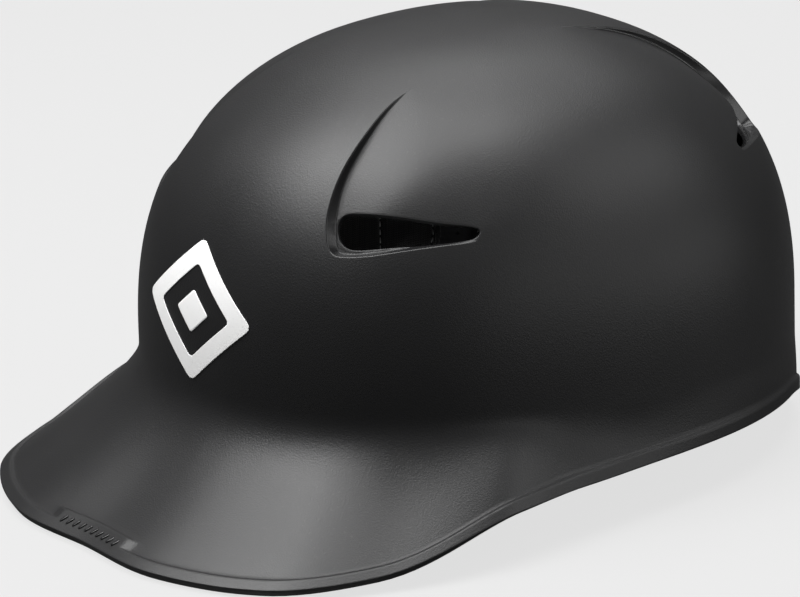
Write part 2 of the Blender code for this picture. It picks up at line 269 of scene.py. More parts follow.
def add_backdrop():
    world = bpy.data.worlds.new("studio")
    world.use_nodes = True
    tree = world.node_tree
    surface = tree.nodes["Background"]
    seen = put(tree, "ShaderNodeLightPath").outputs["Is Camera Ray"]
    dim = SEEN_GREY * DIM_SHARE
    level = maths(tree, "MULTIPLY_ADD", seen, SEEN_GREY - dim, dim)
    wire(tree, surface, Color=(1, 1, 1, 1), Strength=level)
    bpy.context.scene.world = world


def add_floor():
    """A pale sweep under the rim, mostly self-lit so that it stays even, and clear from below."""
    bm = bmesh.new()
    bmesh.ops.create_grid(bm, x_segments=1, y_segments=1, size=FLOOR_HALF)
    bmesh.ops.translate(bm, verts=bm.verts, vec=(0, 0, SHELL_LOW.z - FLOOR_DROP))
    floor = link_piece("floor", mesh_from("floor", bm))
    paper, tree, shader = new_material(
        "pale_paper", Roughness=0.9, Base_Color=(FLOOR_GREY, FLOOR_GREY, FLOOR_GREY, 1),
        Specular_IOR_Level=0.0, Emission_Strength=1.0)
    path = put(tree, "ShaderNodeLightPath")
    glow = blend_colours(tree, path.outputs["Is Camera Ray"], (0, 0, 0, 1),
                         (FLOOR_GLOW, FLOOR_GLOW, FLOOR_GLOW, 1))
    behind = put(tree, "ShaderNodeNewGeometry").outputs["Backfacing"]
    clear = maths(tree, "MAXIMUM", behind, path.outputs["Is Shadow Ray"])
    wire(tree, shader, Emission_Color=glow, Alpha=maths(tree, "SUBTRACT", 1.0, clear))
    floor.data.materials.append(paper)
    floor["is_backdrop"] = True


add_backdrop()
add_floor()
print("floor at z =", round(SHELL_LOW.z / MM, 2), "mm")

# %% [markdown]
# ## The skin of the shell
# The real shell is one moulding. Its form follows a rule rather than a drawing: an upright
# band round the head, a dome whose arcs are a little squarer than a circle, and a flare
# that grows into the brim. So the skin is written as a formula of the angle round the head,
# and every other piece of the helmet is laid on that formula. Values that change
# round the head come as short tables that a smooth curve joins.

# %% Driving dimensions, in metres
WALL = 3.2 * MM
DOME_HALF_WIDTH = 0.100
DOME_FRONT = 0.1205
DOME_REAR = 0.1206
DOME_CENTRE_Y = 0.0238
PLAN_POWER = 2.24
CROWN_HEIGHT = SHELL_HIGH.z
WALL_TOP = 0.0482
CROWN_SHIFT = 0.007
ROUND_FRONT = 2.63
ROUND_REAR = 2.25
ROUND_SIDE = 2.49
RIM_REACH = ((0, 0.0483), (14, 0.0525), (28, 0.0516), (42, 0.0391), (56, 0.0240),
             (72, 0.0090), (90, 0.0040), (110, 0.0025), (180, 0.0015))
RIM_HEIGHT = ((0, 0.0), (21, 0.0), (40, 0.0028), (60, 0.0161), (80, 0.0173),
              (105, 0.0181), (135, 0.0173), (150, 0.0105), (168, 0.0), (180, 0.0))
RIM_SLOPE = ((0, 32), (40, 36), (60, 52), (80, 70), (110, 86), (150, 90), (180, 90))
FLARE_TOP = ((0, 0.0465), (45, 0.0455), (90, 0.0410), (135, 0.0360), (180, 0.0260))
STRIP_WIDTH = 5.5 * MM
STRIP_RISE = 1.2 * MM
STRIP_STEP = 1.0 * MM
TAB_WIDTH = 10.0 * MM
TAB_HALF_LENGTH = 19.4 * MM
TAB_RAMP = 4.4 * MM
PATH_STEPS = 240
BRIM_RADIUS = DOME_FRONT + RIM_REACH[0][1]


# %% Smooth values and curves
def smooth_value(table, angle):
    """A curve through (angle, value) pairs that never overshoots them."""
    angle = abs((angle + 180) % 360 - 180)
    spans = list(zip(table, table[1:]))
    rises = [(b[1] - a[1]) / (b[0] - a[0]) for a, b in spans]
    slopes = [0.0]
    for before, after in zip(rises, rises[1:]):
        same_way = before * after > 0
        slopes.append(2 * before * after / (before + after) if same_way else 0.0)
    slopes.append(0.0)
    for i, (a, b) in enumerate(spans):
        if angle <= b[0] or i == len(spans) - 1:
            width = b[0] - a[0]
            t = (angle - a[0]) / width
            return (a[1] * (1 + 2 * t) * (1 - t) ** 2 + b[1] * t * t * (3 - 2 * t)
                    + width * t * (1 - t) * (slopes[i] * (1 - t) - slopes[i + 1] * t))


def smooth_curve(points, steps, closed=False):
    """A smooth curve through 2-D points: each span leaves and arrives at its own length's pace."""
    points = np.array(points)
    count = len(points)
    before = np.roll(points, 1, axis=0) if closed else points[[0, *range(count - 1)]]
    after = np.roll(points, -1, axis=0) if closed else points[[*range(1, count), count - 1]]
    heading = (after - before) / np.linalg.norm(after - before, axis=1)[:, None]
    curve = []
    for i in range(count if closed else count - 1):
        a, b = points[i], points[(i + 1) % count]
        pace = np.linalg.norm(b - a)
        for t in np.arange(steps) / steps:
            curve.append(a * (1 + 2 * t) * (1 - t) ** 2 + b * t * t * (3 - 2 * t)
                         + pace * t * (1 - t) * (heading[i] * (1 - t) - heading[(i + 1) % count] * t))
    curve.append(points[0] if closed else points[-1])
    return np.array(curve)


def ease(t):
    """0 to 1 with soft ends, for a number or an array."""
    t = np.clip(t, 0.0, 1.0)
    return t * t * (3 - 2 * t)


# %% The skin's formula
def plan_radius(angle):
    """Distance from the dome's axis to its upright wall."""
    length = DOME_FRONT if cos(radians(angle)) > 0 else DOME_REAR
    across = abs(sin(radians(angle))) / DOME_HALF_WIDTH
    along = abs(cos(radians(angle))) / length
    return (across ** PLAN_POWER + along ** PLAN_POWER) ** (-1 / PLAN_POWER)


def dome_power(angle):
    """Squareness of the dome's arc at an angle round the head."""
    turn = radians(angle)
    end_round = ROUND_FRONT if cos(turn) > 0 else ROUND_REAR
    return end_round * cos(turn) ** 2 + ROUND_SIDE * sin(turn) ** 2


def out_from_axis(angle, radius, height, shift=0.0):
    turn = radians(angle)
    return Vector((radius * sin(turn), DOME_CENTRE_Y + shift - radius * cos(turn), height))


def rim_section(angle):
    """Rim edge and strip toe, as (radius, height), and the direction down the strip."""
    slope = radians(smooth_value(RIM_SLOPE, angle))
    down = Vector((cos(slope), -sin(slope)))
    out = Vector((sin(slope), cos(slope)))
    edge = Vector((plan_radius(angle) + smooth_value(RIM_REACH, angle),
                   smooth_value(RIM_HEIGHT, angle) + WALL * cos(slope))) - out * STRIP_RISE
    across = abs(sin(radians(angle))) * BRIM_RADIUS
    tab = 1 - ease((across - TAB_HALF_LENGTH) / TAB_RAMP) if cos(radians(angle)) > 0 else 0.0
    return edge, edge - down * (STRIP_WIDTH + (TAB_WIDTH - STRIP_WIDTH) * tab), down


def flare_section(angle, steps):
    """The hollow curve from the upright wall out to the strip's toe."""
    edge, toe, down = rim_section(angle)
    start = Vector((plan_radius(angle), smooth_value(FLARE_TOP, angle)))
    reach = (toe - start).length
    bend_1 = start + Vector((0, -1)) * reach * 0.20
    bend_2 = toe - down * reach * 0.50
    for i in range(steps + 1):
        t = i / steps
        yield (start * (1 - t) ** 3 + bend_1 * 3 * t * (1 - t) ** 2
               + bend_2 * 3 * t * t * (1 - t) + toe * t ** 3)


@lru_cache(maxsize=None)
def skin_path(angle):
    """Points down the outer skin from the crown to the strip's toe."""
    power = dome_power(angle)
    path = []
    for i in range(PATH_STEPS + 1):
        lift = pi / 2 * (1 - i / PATH_STEPS)
        share_out = max(cos(lift), 0.0) ** (2 / power)
        share_up = max(sin(lift), 0.0) ** (2 / power)
        height = WALL_TOP + (CROWN_HEIGHT - WALL_TOP) * share_up
        path.append(out_from_axis(angle, plan_radius(angle) * share_out, height,
                                  CROWN_SHIFT * share_up ** 2))
    for radius, height in flare_section(angle, PATH_STEPS // 4):
        if height < WALL_TOP:
            path.append(out_from_axis(angle, radius, height))
    return path


def skin_point(angle, place):
    """Point and outward normal at a fractional place on a skin path."""
    path = skin_path(angle)
    i = min(max(int(place), 1), len(path) - 3)
    t = place - i
    left, right = skin_path(angle - 1), skin_path(angle + 1)
    round_head = right[i].lerp(right[i + 1], t) - left[i].lerp(left[i + 1], t)
    return path[i].lerp(path[i + 1], t), (path[i + 1] - path[i]).cross(round_head).normalized()


def place_where(angle, test):
    """The first place down the path where test(point) turns positive."""
    path = skin_path(angle)
    low, high = 0, len(path) - 1
    while high - low > 1:
        middle = (low + high) // 2
        low, high = (low, middle) if test(path[middle]) >= 0 else (middle, high)
    before, after = test(path[low]), test(path[high])
    return low + before / (before - after)


def skin_at_height(angle, height):
    angle = round(angle, 3)
    return skin_point(angle, place_where(angle, lambda p: height - p.z))


def dome_excess(point):
    """How far a point lies outside the dome, measured level from its axis."""
    share_up = min(max((point.z - WALL_TOP) / (CROWN_HEIGHT - WALL_TOP), 0.0), 1.0)
    along = point.y - DOME_CENTRE_Y - CROWN_SHIFT * share_up ** 2
    angle = degrees(atan2(point.x, -along))
    power = dome_power(angle)
    return hypot(point.x, along) - plan_radius(angle) * (1 - share_up ** power) ** (1 / power)


HIT_REACH = 0.18
HALVINGS = 34
NUDGE = 0.02 * MM


def dome_hit(start, heading):
    """Where a line from inside the dome leaves it, found by halving, and the normal there."""
    low, high = 0.0, HIT_REACH
    for _ in range(HALVINGS):
        middle = (low + high) / 2
        if dome_excess(start + heading * middle) > 0:
            high = middle
        else:
            low = middle
    point = start + heading * low
    slope = [dome_excess(point + axis * NUDGE) - dome_excess(point - axis * NUDGE)
             for axis in (Vector((1, 0, 0)), Vector((0, 1, 0)), Vector((0, 0, 1)))]
    return point, Vector(slope).normalized()


print("skin: brim edge reaches y =", round(out_from_axis(0, *rim_section(0)[0]).y / MM, 1), "mm")

# %% [markdown]
# ## The vents
# Each vent on the real shell is a panel pressed in along a hooked line, with a slot cut
# through at the foot of the hook. The line runs down from the crown, turns a tight corner
# and runs out along the slot's lower lip. It is drawn here as a curve on a flat chart that
# faces the vent. Every point of the skin can be dropped onto that chart, so the depth of the
# press is a function of a chart position, and the mesh edges can follow the hook exactly.

# %% Vent outlines on their chart
VENT_HOOK = ((-0.0028, 0.0413), (-0.0080, 0.0322), (-0.0126, 0.0205), (-0.0179, 0.0044),
             (-0.0203, -0.0103), (-0.0191, -0.0208), (-0.0167, -0.0243), (-0.0126, -0.0250),
             (-0.0033, -0.0238), (0.0106, -0.0200), (0.0211, -0.0167), (0.0295, -0.0136),
             (0.0312, -0.0111))
VENT_SLOT = ((-0.0171, -0.0140), (-0.0166, -0.0112), (-0.0145, -0.0094), (-0.0110, -0.0090),
             (0.0046, -0.0094), (0.0175, -0.0097), (0.0297, -0.0093), (0.0303, -0.0108),
             (0.0279, -0.0131), (0.0159, -0.0169), (0.0046, -0.0190), (-0.0030, -0.0203),
             (-0.0090, -0.0211), (-0.0128, -0.0207), (-0.0157, -0.0184))
REAR_LEAD = ((0.0083, 0.0590), (0.0030, 0.0495))   # the rear hooks start higher on the crown
VENT_DEPTH = 4.0 * MM
VENT_FADE = 42 * MM
VENT_SIDE = 0.03              # a skin point this far out from the dome's centre faces the vent
CORNER_FROM_TIP = 8           # outline points from the hook's full depth to its tip
LIP_FROM_TIP = 5              # and from where the step starts to run out
HOOK_PITCH = 0.8 * MM
SLOT_PITCH = 0.7 * MM
FILLET = 0.25 * MM
CURVE_STEPS = 16
WIDTH_SOFTENED = 9            # the step's width is averaged over this many hook points
# Width of the sloping step under the hook, by points before (-) or after the corner.
STEP_WIDTHS = ((-6, 0.5 * MM), (-4, 0.5 * MM), (-3, 0.8 * MM), (-2, 0.9 * MM), (-1, 1.1 * MM),
               (0, 2.4 * MM), (0.6, 2.7 * MM), (2, 2.4 * MM), (4, 2.2 * MM), (6, 1.4 * MM),
               (8, 0.6 * MM))
RISE_POWER = 1.7              # the step deepens fast below the crown end, then more slowly
EDGE_ROUND = 0.40 * MM        # radius of the rounded cut edges
DOME_CENTRE = Vector((0, DOME_CENTRE_Y, WALL_TOP))


def evenly(points, pitch, *extra):
    """Points and matching values resampled at an even pitch along the polyline."""
    run = np.concatenate([[0], np.cumsum(np.linalg.norm(np.diff(points, axis=0), axis=1))])
    at = np.linspace(0, run[-1], int(run[-1] / pitch) + 1)
    columns = [np.interp(at, run, points[:, k]) for k in (0, 1)]
    return np.stack(columns, axis=1), *[np.interp(at, run, values) for values in extra]


class Vent:
    """A left-hand vent: its chart's axes, hook, slot and step."""

    def __init__(self, name, azimuth, rise, way, lead):
        a, e = radians(azimuth), radians(rise)
        self.name = name
        self.way = way
        self.outward = direction(a, e)
        self.across = Vector((cos(a), sin(a), 0)) * way
        self.up = Vector((-sin(a) * sin(e), cos(a) * sin(e), cos(e)))
        corners = lead + VENT_HOOK
        tip = len(corners) - 1
        place = np.arange(tip * CURVE_STEPS + 1) / CURVE_STEPS
        self.hook, self.place = evenly(smooth_curve(corners, CURVE_STEPS), HOOK_PITCH, place)
        self.corner, self.lip = tip - CORNER_FROM_TIP, tip - LIP_FROM_TIP
        spots, widths = zip(*STEP_WIDTHS)
        raw = np.interp(self.place - self.corner, spots, widths)
        padded = np.pad(raw, WIDTH_SOFTENED // 2, mode="edge")
        self.width = np.convolve(padded, np.ones(WIDTH_SOFTENED) / WIDTH_SOFTENED, mode="valid")
        self.slot = evenly(smooth_curve(VENT_SLOT, 12, closed=True), SLOT_PITCH)[0][:-1]

    def chart(self, points):
        """Chart positions of skin points, and how far out they face the vent."""
        arm = points - np.array(DOME_CENTRE)
        flat = np.stack([arm @ np.array(self.across), arm @ np.array(self.up)], axis=1)
        return flat, arm @ np.array(self.outward)

    def on_dome(self, flat):
        """The skin point over a chart position."""
        start = DOME_CENTRE + self.across * flat[0] + self.up * flat[1]
        return dome_hit(start, self.outward)[0]


VENTS = (Vent("front", 37, 38, 1, ()), Vent("rear", 150, 40, -1, REAR_LEAD))
for vent in VENTS:
    print(vent.name, "vent: hook", len(vent.hook), "points, slot", len(vent.slot), "points")


# %% Distance to a slot, and the rounding of a cut edge
def slot_gap(vent, flat):
    """Distance from chart positions to the slot's outline."""
    return stretch_gap(flat, vent.slot, np.roll(vent.slot, -1, axis=0))


def stretch_gap(flat, start, end):
    """Distance from chart positions to the nearest of some straight stretches."""
    run = end - start
    arm = flat[:, None] - start[None]
    t = np.clip((arm * run).sum(2) / (run ** 2).sum(1), 0, 1)
    return np.linalg.norm(arm - run[None] * t[..., None], axis=2).min(axis=1)


def edge_drop(distance):
    """How far a quarter-round edge falls below the skin, at a distance from the cut."""
    return EDGE_ROUND - np.sqrt(EDGE_ROUND ** 2 - np.clip(EDGE_ROUND - distance, 0, None) ** 2)


# %% How deep the panel is pressed
INNER_LEAD = 1.5 * MM


def rounded_ramp(x):
    """0 below zero and x above it, with a small fillet between."""
    middle = (x + FILLET) ** 2 / (4 * FILLET)
    return np.where(x < -FILLET, 0.0, np.where(x > FILLET, x, middle))


def press(vent, flat, facing):
    """Depth of the outer and inner skins, and how polished the skin is, at chart positions."""
    start, run = vent.hook[:-1], np.diff(vent.hook, axis=0)
    arm = flat[:, None] - start[None]
    t = np.clip((arm * run).sum(2) / (run ** 2).sum(1), 0, 1)
    away = arm - run[None] * t[..., None]
    gap = np.hypot(away[..., 0], away[..., 1])
    rows = np.arange(len(flat))
    pick = gap.argmin(1)
    turn = run[:, 0] * arm[..., 1] - run[:, 1] * arm[..., 0]
    signed = gap[rows, pick] * np.sign(turn[rows, pick])
    width = np.interp(pick + t[rows, pick], np.arange(len(vent.hook)), vent.width)
    amount = 1 - np.clip(1 - vent.place / vent.corner, 0, 1) ** RISE_POWER
    amount *= 1 - ease((vent.place - vent.lip) / LIP_FROM_TIP)
    middle_amount = (amount[1:] + amount[:-1]) / 2
    # Far from the hook its stretches are averaged, so that no crease starts in its corner.
    pull = np.linalg.norm(run, axis=1) / np.maximum(gap, 0.4 * MM) ** 6
    total = pull.sum(1)
    lean = (pull * turn / np.maximum(gap, 1e-6) / np.linalg.norm(run, axis=1)).sum(1) / total
    soft_gap = (8 / (3 * pi) * total) ** -0.2
    depth = VENT_DEPTH * (pull * middle_amount).sum(1) / total * (1 - ease(soft_gap / VENT_FADE))
    on_side = facing > VENT_SIDE
    depth *= ease(lean * 1.6 + 0.1) * on_side
    near_end = (pick + t[rows, pick] <= 0) | (pick + t[rows, pick] >= len(run))
    outer = (rounded_ramp(signed) - rounded_ramp(signed - width)) / width
    outer = np.where(near_end, 1.0, outer)
    inner = np.where(near_end, 1.0, ease((signed + INNER_LEAD) / (width + 2 * INNER_LEAD)))
    on_step = (signed > -0.5 * FILLET) & (signed < width + 0.5 * FILLET) & ~near_end
    near = ease(amount[pick] * 2.5) * on_step * on_side
    drop = edge_drop(slot_gap(vent, flat)) * on_side
    return depth * np.clip(outer, 0, 1) + drop, depth * np.clip(inner, 0, 1) - drop, near


# %% [markdown]
# ## Meshing the shell
# Half the skin is a grid, rows from the rim to the crown and columns round the head, with
# rows bunched at the raised edge strip and columns bunched at the brim's tab. A grid can't
# follow a hook, so the cells near each vent are taken out, and the gap is filled with
# triangles whose edges run along the hook, the foot of its step and the slot. Then the
# skin is pressed, given an inner wall, and mirrored. A Boolean would cut the same slot,
# but it would leave long thin faces round it, and shading would show them.

# %% The base grid
TAB_PITCH = 1.1 * MM
TAB_COLUMNS_END = 26 * MM
COLUMN_STEP = 1.45
# Rows on the edge strip, in mm from the edge, bunched at the strip's and the tab's steps.
STRIP_ROWS = [0, 0.06, 0.2, 0.4, 0.8, 2.2, 3.6, 4.25, 4.6, 5.0, 5.4, 5.75, 7.0, 8.2, 8.75, 9.1,
              9.5, 9.9, 10.25]
DOME_ROWS = 76
ROW_BUNCHING = 0.4
ON_MIDDLE = 1e-6              # nearer to x = 0 than this, a point lies on the middle plane


def column_angles():
    close = np.arange(0, TAB_COLUMNS_END, TAB_PITCH) / BRIM_RADIUS * degrees(1)
    wide = np.linspace(close[-1], 180, round((180 - close[-1]) / COLUMN_STEP) + 1)
    return [round(float(angle), 4) for angle in (*close, *wide[1:])]


def skin_column(angle):
    """Points from the rim edge to the crown, and each one's distance from the edge."""
    edge = out_from_axis(angle, *rim_section(angle)[0])
    path = np.array([edge, *skin_path(angle)[::-1]])
    run = np.concatenate([[0], np.cumsum(np.linalg.norm(np.diff(path, axis=0), axis=1))])
    strip = np.array(STRIP_ROWS) * MM
    t = np.arange(1, DOME_ROWS + 1) / DOME_ROWS
    t = t * (1 - ROW_BUNCHING) + t * t * ROW_BUNCHING
    at = np.concatenate([strip, strip[-1] + (run[-1] - strip[-1]) * t])
    return np.stack([np.interp(at, run, path[:, k]) for k in range(3)], axis=1), at


def half_skin():
    """Half of the smooth skin, without strip or vents, as a grid open at the middle plane."""
    angles = column_angles()
    columns = [skin_column(angle) for angle in angles]
    last_column, last_row = len(angles) - 1, len(columns[0][1]) - 1
    bm = bmesh.new()
    bmesh.ops.create_grid(bm, x_segments=last_column, y_segments=last_row, size=0.5)
    from_edge = bm.verts.layers.float.new("from_edge")
    for vert in bm.verts:
        column = round((vert.co.x + 0.5) * last_column)
        row = round((vert.co.y + 0.5) * last_row)
        vert.co = columns[column][0][row]
        vert[from_edge] = columns[column][1][row]
        if column in (0, last_column):
            vert.co.x = 0.0
    bmesh.ops.remove_doubles(bm, verts=bm.verts, dist=0.01 * MM)
    print("half grid:", last_column, "columns by", last_row, "rows")
    return bm


# %% The fitted patch round a vent
PATCH_REACH = 7 * MM
SLOT_REACH = 4 * MM
WELL_IN = 1.0                 # stands for a distance from the rim, in m, that no edge is within
SLIVER = 0.02                 # area over longest side squared, below which that side is turned
FILL_PITCH = 2.0 * MM
FILL_ROW = 0.87               # height of an even triangle, as a share of its side
FILL_CLEAR = 1.2 * MM
SLOT_ROWS = (0.15, 0.5, 1.0, 2.6)   # rows round the slot, in shares of the edge radius


def inside(points, starts, ends):
    """Even-odd test of many points against closed loops given as edges."""
    x, y = points[:, :1], points[:, 1:]
    crosses = (starts[:, 1] > y) != (ends[:, 1] > y)
    rise = ends[:, 1] - starts[:, 1]
    slant = (ends[:, 0] - starts[:, 0]) / np.where(rise == 0, 1, rise)
    at = starts[:, 0] + (y - starts[:, 1]) * slant
    return (crosses & (x < at)).sum(1) % 2 == 1


def step_lines(vent):
    """Chart lines along the step, and whether each is one of its two folds or a fillet's edge."""
    along = np.gradient(vent.hook, axis=0)
    along /= np.linalg.norm(along, axis=1)[:, None]
    panel_side = np.stack([-along[:, 1], along[:, 0]], axis=1)
    rows = [(0 * vent.width, share) for share in (-3, -1, 0, 1)]
    rows += [(vent.width, share) for share in (-1, 0, 1, 3)]
    return [(vent.hook + panel_side * (start + share * FILLET)[:, None], share == 0)
            for start, share in rows]


def slot_row(slot, shift):
    """The slot's outline moved outwards, away from the opening."""
    along = np.roll(slot, -1, axis=0) - np.roll(slot, 1, axis=0)
    along /= np.linalg.norm(along, axis=1)[:, None]
    away = np.stack([-along[:, 1], along[:, 0]], axis=1)
    grows = np.ptp(slot + away * shift, axis=0).sum() > np.ptp(slot, axis=0).sum()
    return slot + away * (shift if grows else -shift)


def chain(first, count, closed=False):
    """Edges that join consecutive points."""
    edges = [(first + i, first + i + 1) for i in range(count - 1)]
    return edges + [(first + count - 1, first)] if closed else edges


def faces_to_take(bm, vent):
    """The grid's faces near the hook, near the slot or inside it, in mesh order."""
    centres = np.array([face.calc_center_median() for face in bm.faces])
    flat, facing = vent.chart(centres)
    gap = np.array([np.hypot(*(vent.hook - spot).T).min() for spot in flat])
    in_slot = inside(flat, vent.slot, np.roll(vent.slot, -1, axis=0))
    near = (gap < PATCH_REACH) | (slot_gap(vent, flat) < SLOT_REACH) | in_slot
    return [face for face, pick in zip(bm.faces, near & (facing > VENT_SIDE)) if pick]


def turn_slivers(slivers, ring):
    """Turns the long sides of very thin triangles on the patch's border."""
    for edge in slivers:
        corners = {vert for face in edge.link_faces for vert in face.verts}
        if corners & ring and all(len(face.verts) == 3 for face in edge.link_faces):
            bmesh.utils.edge_rotate(edge, False)


def refit(bm, vent):
    """Takes out the grid near a vent and fills the gap with triangles that follow its lines."""
    taken = faces_to_take(bm, vent)
    gone = set(taken)
    border = [edge for face in taken for edge in face.edges
              if sum(other in gone for other in edge.link_faces) == 1]
    ring = list(dict.fromkeys(vert for edge in border for vert in edge.verts))
    number = {vert: i for i, vert in enumerate(ring)}
    edges = [(number[edge.verts[0]], number[edge.verts[1]]) for edge in border]
    ring_flat = vent.chart(np.array([vert.co for vert in ring]))[0]
    starts, ends = ring_flat[[a for a, b in edges]], ring_flat[[b for a, b in edges]]
    slot_ends = np.roll(vent.slot, -1, axis=0)
    points = [*ring_flat]
    for line, is_fold in step_lines(vent):
        if is_fold:
            edges += chain(len(points), len(line))
        points += [*line]
    edges += chain(len(points), len(vent.slot), closed=True)
    points += [*vent.slot]
    for share in SLOT_ROWS:
        points += [*slot_row(vent.slot, share * EDGE_ROUND)]
    points += fill_points(points, starts, ends, vent.slot, slot_ends)
    places, _, found, sources, _, _ = delaunay_2d_cdt(
        [Vector(p) / MM for p in points], edges, [], 0, 1e-4)
    places = np.array(places) * MM
    middles = np.array([places[list(triangle)].mean(axis=0) for triangle in found])
    keep = inside(middles, starts, ends) & ~inside(middles, vent.slot, slot_ends)
    bmesh.ops.delete(bm, geom=taken, context="FACES")
    made, slivers = {}, []
    from_edge = bm.verts.layers.float["from_edge"]
    for triangle in [triangle for triangle, wanted in zip(found, keep) if wanted]:
        for k in [k for k in triangle if k not in made]:
            old = [source for source in sources[k] if source < len(ring)]
            made[k] = ring[old[0]] if old else bm.verts.new(vent.on_dome(places[k]))
            if not old:
                made[k][from_edge] = WELL_IN
        corners = [made[k] for k in triangle]
        face = bm.faces.new(corners if vent.way > 0 else corners[::-1])
        longest = max(face.edges, key=lambda edge: edge.calc_length())
        if face.calc_area() < SLIVER * longest.calc_length() ** 2:
            slivers.append(longest)
    turn_slivers(slivers, set(ring))
    print(vent.name, "vent patch:", int(keep.sum()), "triangles")


def fill_points(points, starts, ends, slot, slot_ends):
    """An even scatter of points in what is left of the patch."""
    low, high = starts.min(axis=0), starts.max(axis=0)
    rows = np.arange(low[1], high[1], FILL_PITCH * FILL_ROW)
    grid = np.array([(x + (j % 2) * FILL_PITCH / 2, y) for j, y in enumerate(rows)
                     for x in np.arange(low[0], high[0], FILL_PITCH)])
    grid = grid[inside(grid, starts, ends) & ~inside(grid, slot, slot_ends)]
    taken = np.array(points)
    clear = np.array([np.hypot(*(taken - spot).T).min() > FILL_CLEAR for spot in grid])
    return [*grid[clear & (stretch_gap(grid, starts, ends) > FILL_CLEAR / 2)]]


# %% Outer skin, inner skin and the wall between
def tab_share(co):
    """1 on the brim's tab, running out to 0 down the ramps at its ends."""
    return 1 - min(max((abs(co.x) - TAB_HALF_LENGTH) / TAB_RAMP, 0), 1) if co.y < 0 else 0.0


def strip_rise(co, from_edge):
    """Height of the raised edge strip, and of its tab, above the skin."""
    def raised(width):
        soft = 2 * FILLET
        return 1 - ease((from_edge - width + STRIP_STEP + soft / 2) / (STRIP_STEP + soft))
    raise_by = STRIP_RISE * max(raised(STRIP_WIDTH), raised(TAB_WIDTH) * tab_share(co))
    return raise_by - float(edge_drop(from_edge))


def close_wall(bm, outer, inner):
    """Moves the sheet to its outer places, adds the inner sheet, and joins their edges."""
    bm.verts.ensure_lookup_table()
    bm.verts.index_update()
    faces = list(bm.faces)
    layers = bm.verts.layers.float.values()
    rims = [(loop.vert.index, loop.link_loop_next.vert.index) for face in faces
            for loop in face.loops if loop.edge.is_boundary
            and not all(abs(vert.co.x) < ON_MIDDLE for vert in loop.edge.verts)]
    near = list(bm.verts)
    far = []
    for vert, place in zip(near, inner):
        twin = bm.verts.new(place)
        for layer in layers:
            twin[layer] = vert[layer]
        far.append(twin)
    for vert, place in zip(near, outer):
        vert.co = place
    for face in faces:
        bm.faces.new([far[vert.index] for vert in reversed(face.verts)])
    for a, b in rims:
        bm.faces.new((near[b], near[a], far[a], far[b]))


def build_shell():
    bm = half_skin()
    for vent in VENTS:
        refit(bm, vent)
    bm.normal_update()
    from_edge = bm.verts.layers.float["from_edge"]
    polish = bm.verts.layers.float.new("polish")
    wear_and_sheen = bm.verts.layers.float.new("wear_and_sheen")
    places = np.array([vert.co for vert in bm.verts])
    pressed = [press(vent, *vent.chart(places)) for vent in VENTS]
    outer, inner = [], []
    for i, vert in enumerate(bm.verts):
        normal = vert.normal.copy()
        if abs(vert.co.x) < ON_MIDDLE:
            normal.x = 0
            normal.normalize()
        rise = strip_rise(vert.co, vert[from_edge])
        inner_rise = STRIP_RISE * (1 - ease(vert[from_edge] / (2 * STRIP_WIDTH)))
        inner_rise += float(edge_drop(vert[from_edge]))
        out_place = vert.co + normal * rise
        in_place = vert.co + normal * (inner_rise - WALL)
        for vent, (deep_out, deep_in, step) in zip(VENTS, pressed):
            out_place -= vent.outward * float(deep_out[i])
            in_place -= vent.outward * float(deep_in[i])
            vert[polish] = max(vert[polish], float(step[i]))
        # The cut edges get the mask that lightens them in the plastic: partly scuffing, partly a
        # painted sheen.
        if vert.is_boundary and abs(vert.co.x) > ON_MIDDLE:
            vert[wear_and_sheen] = 1.0
            vert[polish] = 1.0 if vert[from_edge] == WELL_IN else 0.5
        outer.append(out_place)
        inner.append(in_place)
    close_wall(bm, outer, inner)
    return finish_mesh("helmet_shell", bm, mirror=True)


# %% Finishing a piece
def settle(piece):
    """Applies every modifier by taking the evaluated mesh."""
    depsgraph = bpy.context.evaluated_depsgraph_get()
    done = bpy.data.meshes.new_from_object(piece.evaluated_get(depsgraph), depsgraph=depsgraph)
    old = piece.data
    piece.modifiers.clear()
    piece.data = done
    if old.users == 0:
        bpy.data.meshes.remove(old)
    done.name = piece.name
    return piece


def triangles(piece):
    return sum(len(face.vertices) - 2 for face in piece.data.polygons)


def finish_mesh(name, bm, mirror=False):
    piece = link_piece(name, mesh_from(name, bm))
    if mirror:
        halves = piece.modifiers.new("two_sides", "MIRROR")
        halves.merge_threshold = 0.02 * MM
    settle(piece)
    piece.data.shade_smooth()
    return piece


shell = build_shell()
print("shell:", triangles(shell), "triangles")

# %% [markdown]
# ## The moulded plastic
# The mould for such a shell is spark-eroded, which leaves a fine pebbled grain that breaks
# a highlight into tiny glints. Where the tool was polished, on the steps of the vents and
# the cut edges, the plastic is glossier. Both are one material: a group makes the
# grain, a mask stored on the mesh switches it off on the steps, and a second group lightens
# the cut edges, partly as scuffing and partly as a painted sheen, and lets a little dust
# settle on what faces up.

# %% Grain, cut edges lightened as scuffing and painted sheen, and dust
def grain_group():
    tree, given, result = new_group(
        "pebbled_grain", {"Pebbles per metre": 1500.0, "Smooth mask": 0.0}, ("Height", "Shade"))
    place, pitch = given["Vector"], given["Pebbles per metre"]
    pebble = put(tree, "ShaderNodeTexVoronoi", {"feature": "SMOOTH_F1"}, Vector=place, Scale=pitch)
    fine = noise(tree, place, maths(tree, "MULTIPLY", pitch, 1.7), 2.0)
    mixed = maths(tree, "MULTIPLY_ADD", fine, 0.6, pebble.outputs["Distance"])
    rough = maths(tree, "SUBTRACT", 1.0, given["Smooth mask"], clamp=True)
    wire(tree, result, Height=maths(tree, "MULTIPLY", mixed, rough),
         Shade=noise(tree, place, 38.0, 3.0))
    return tree


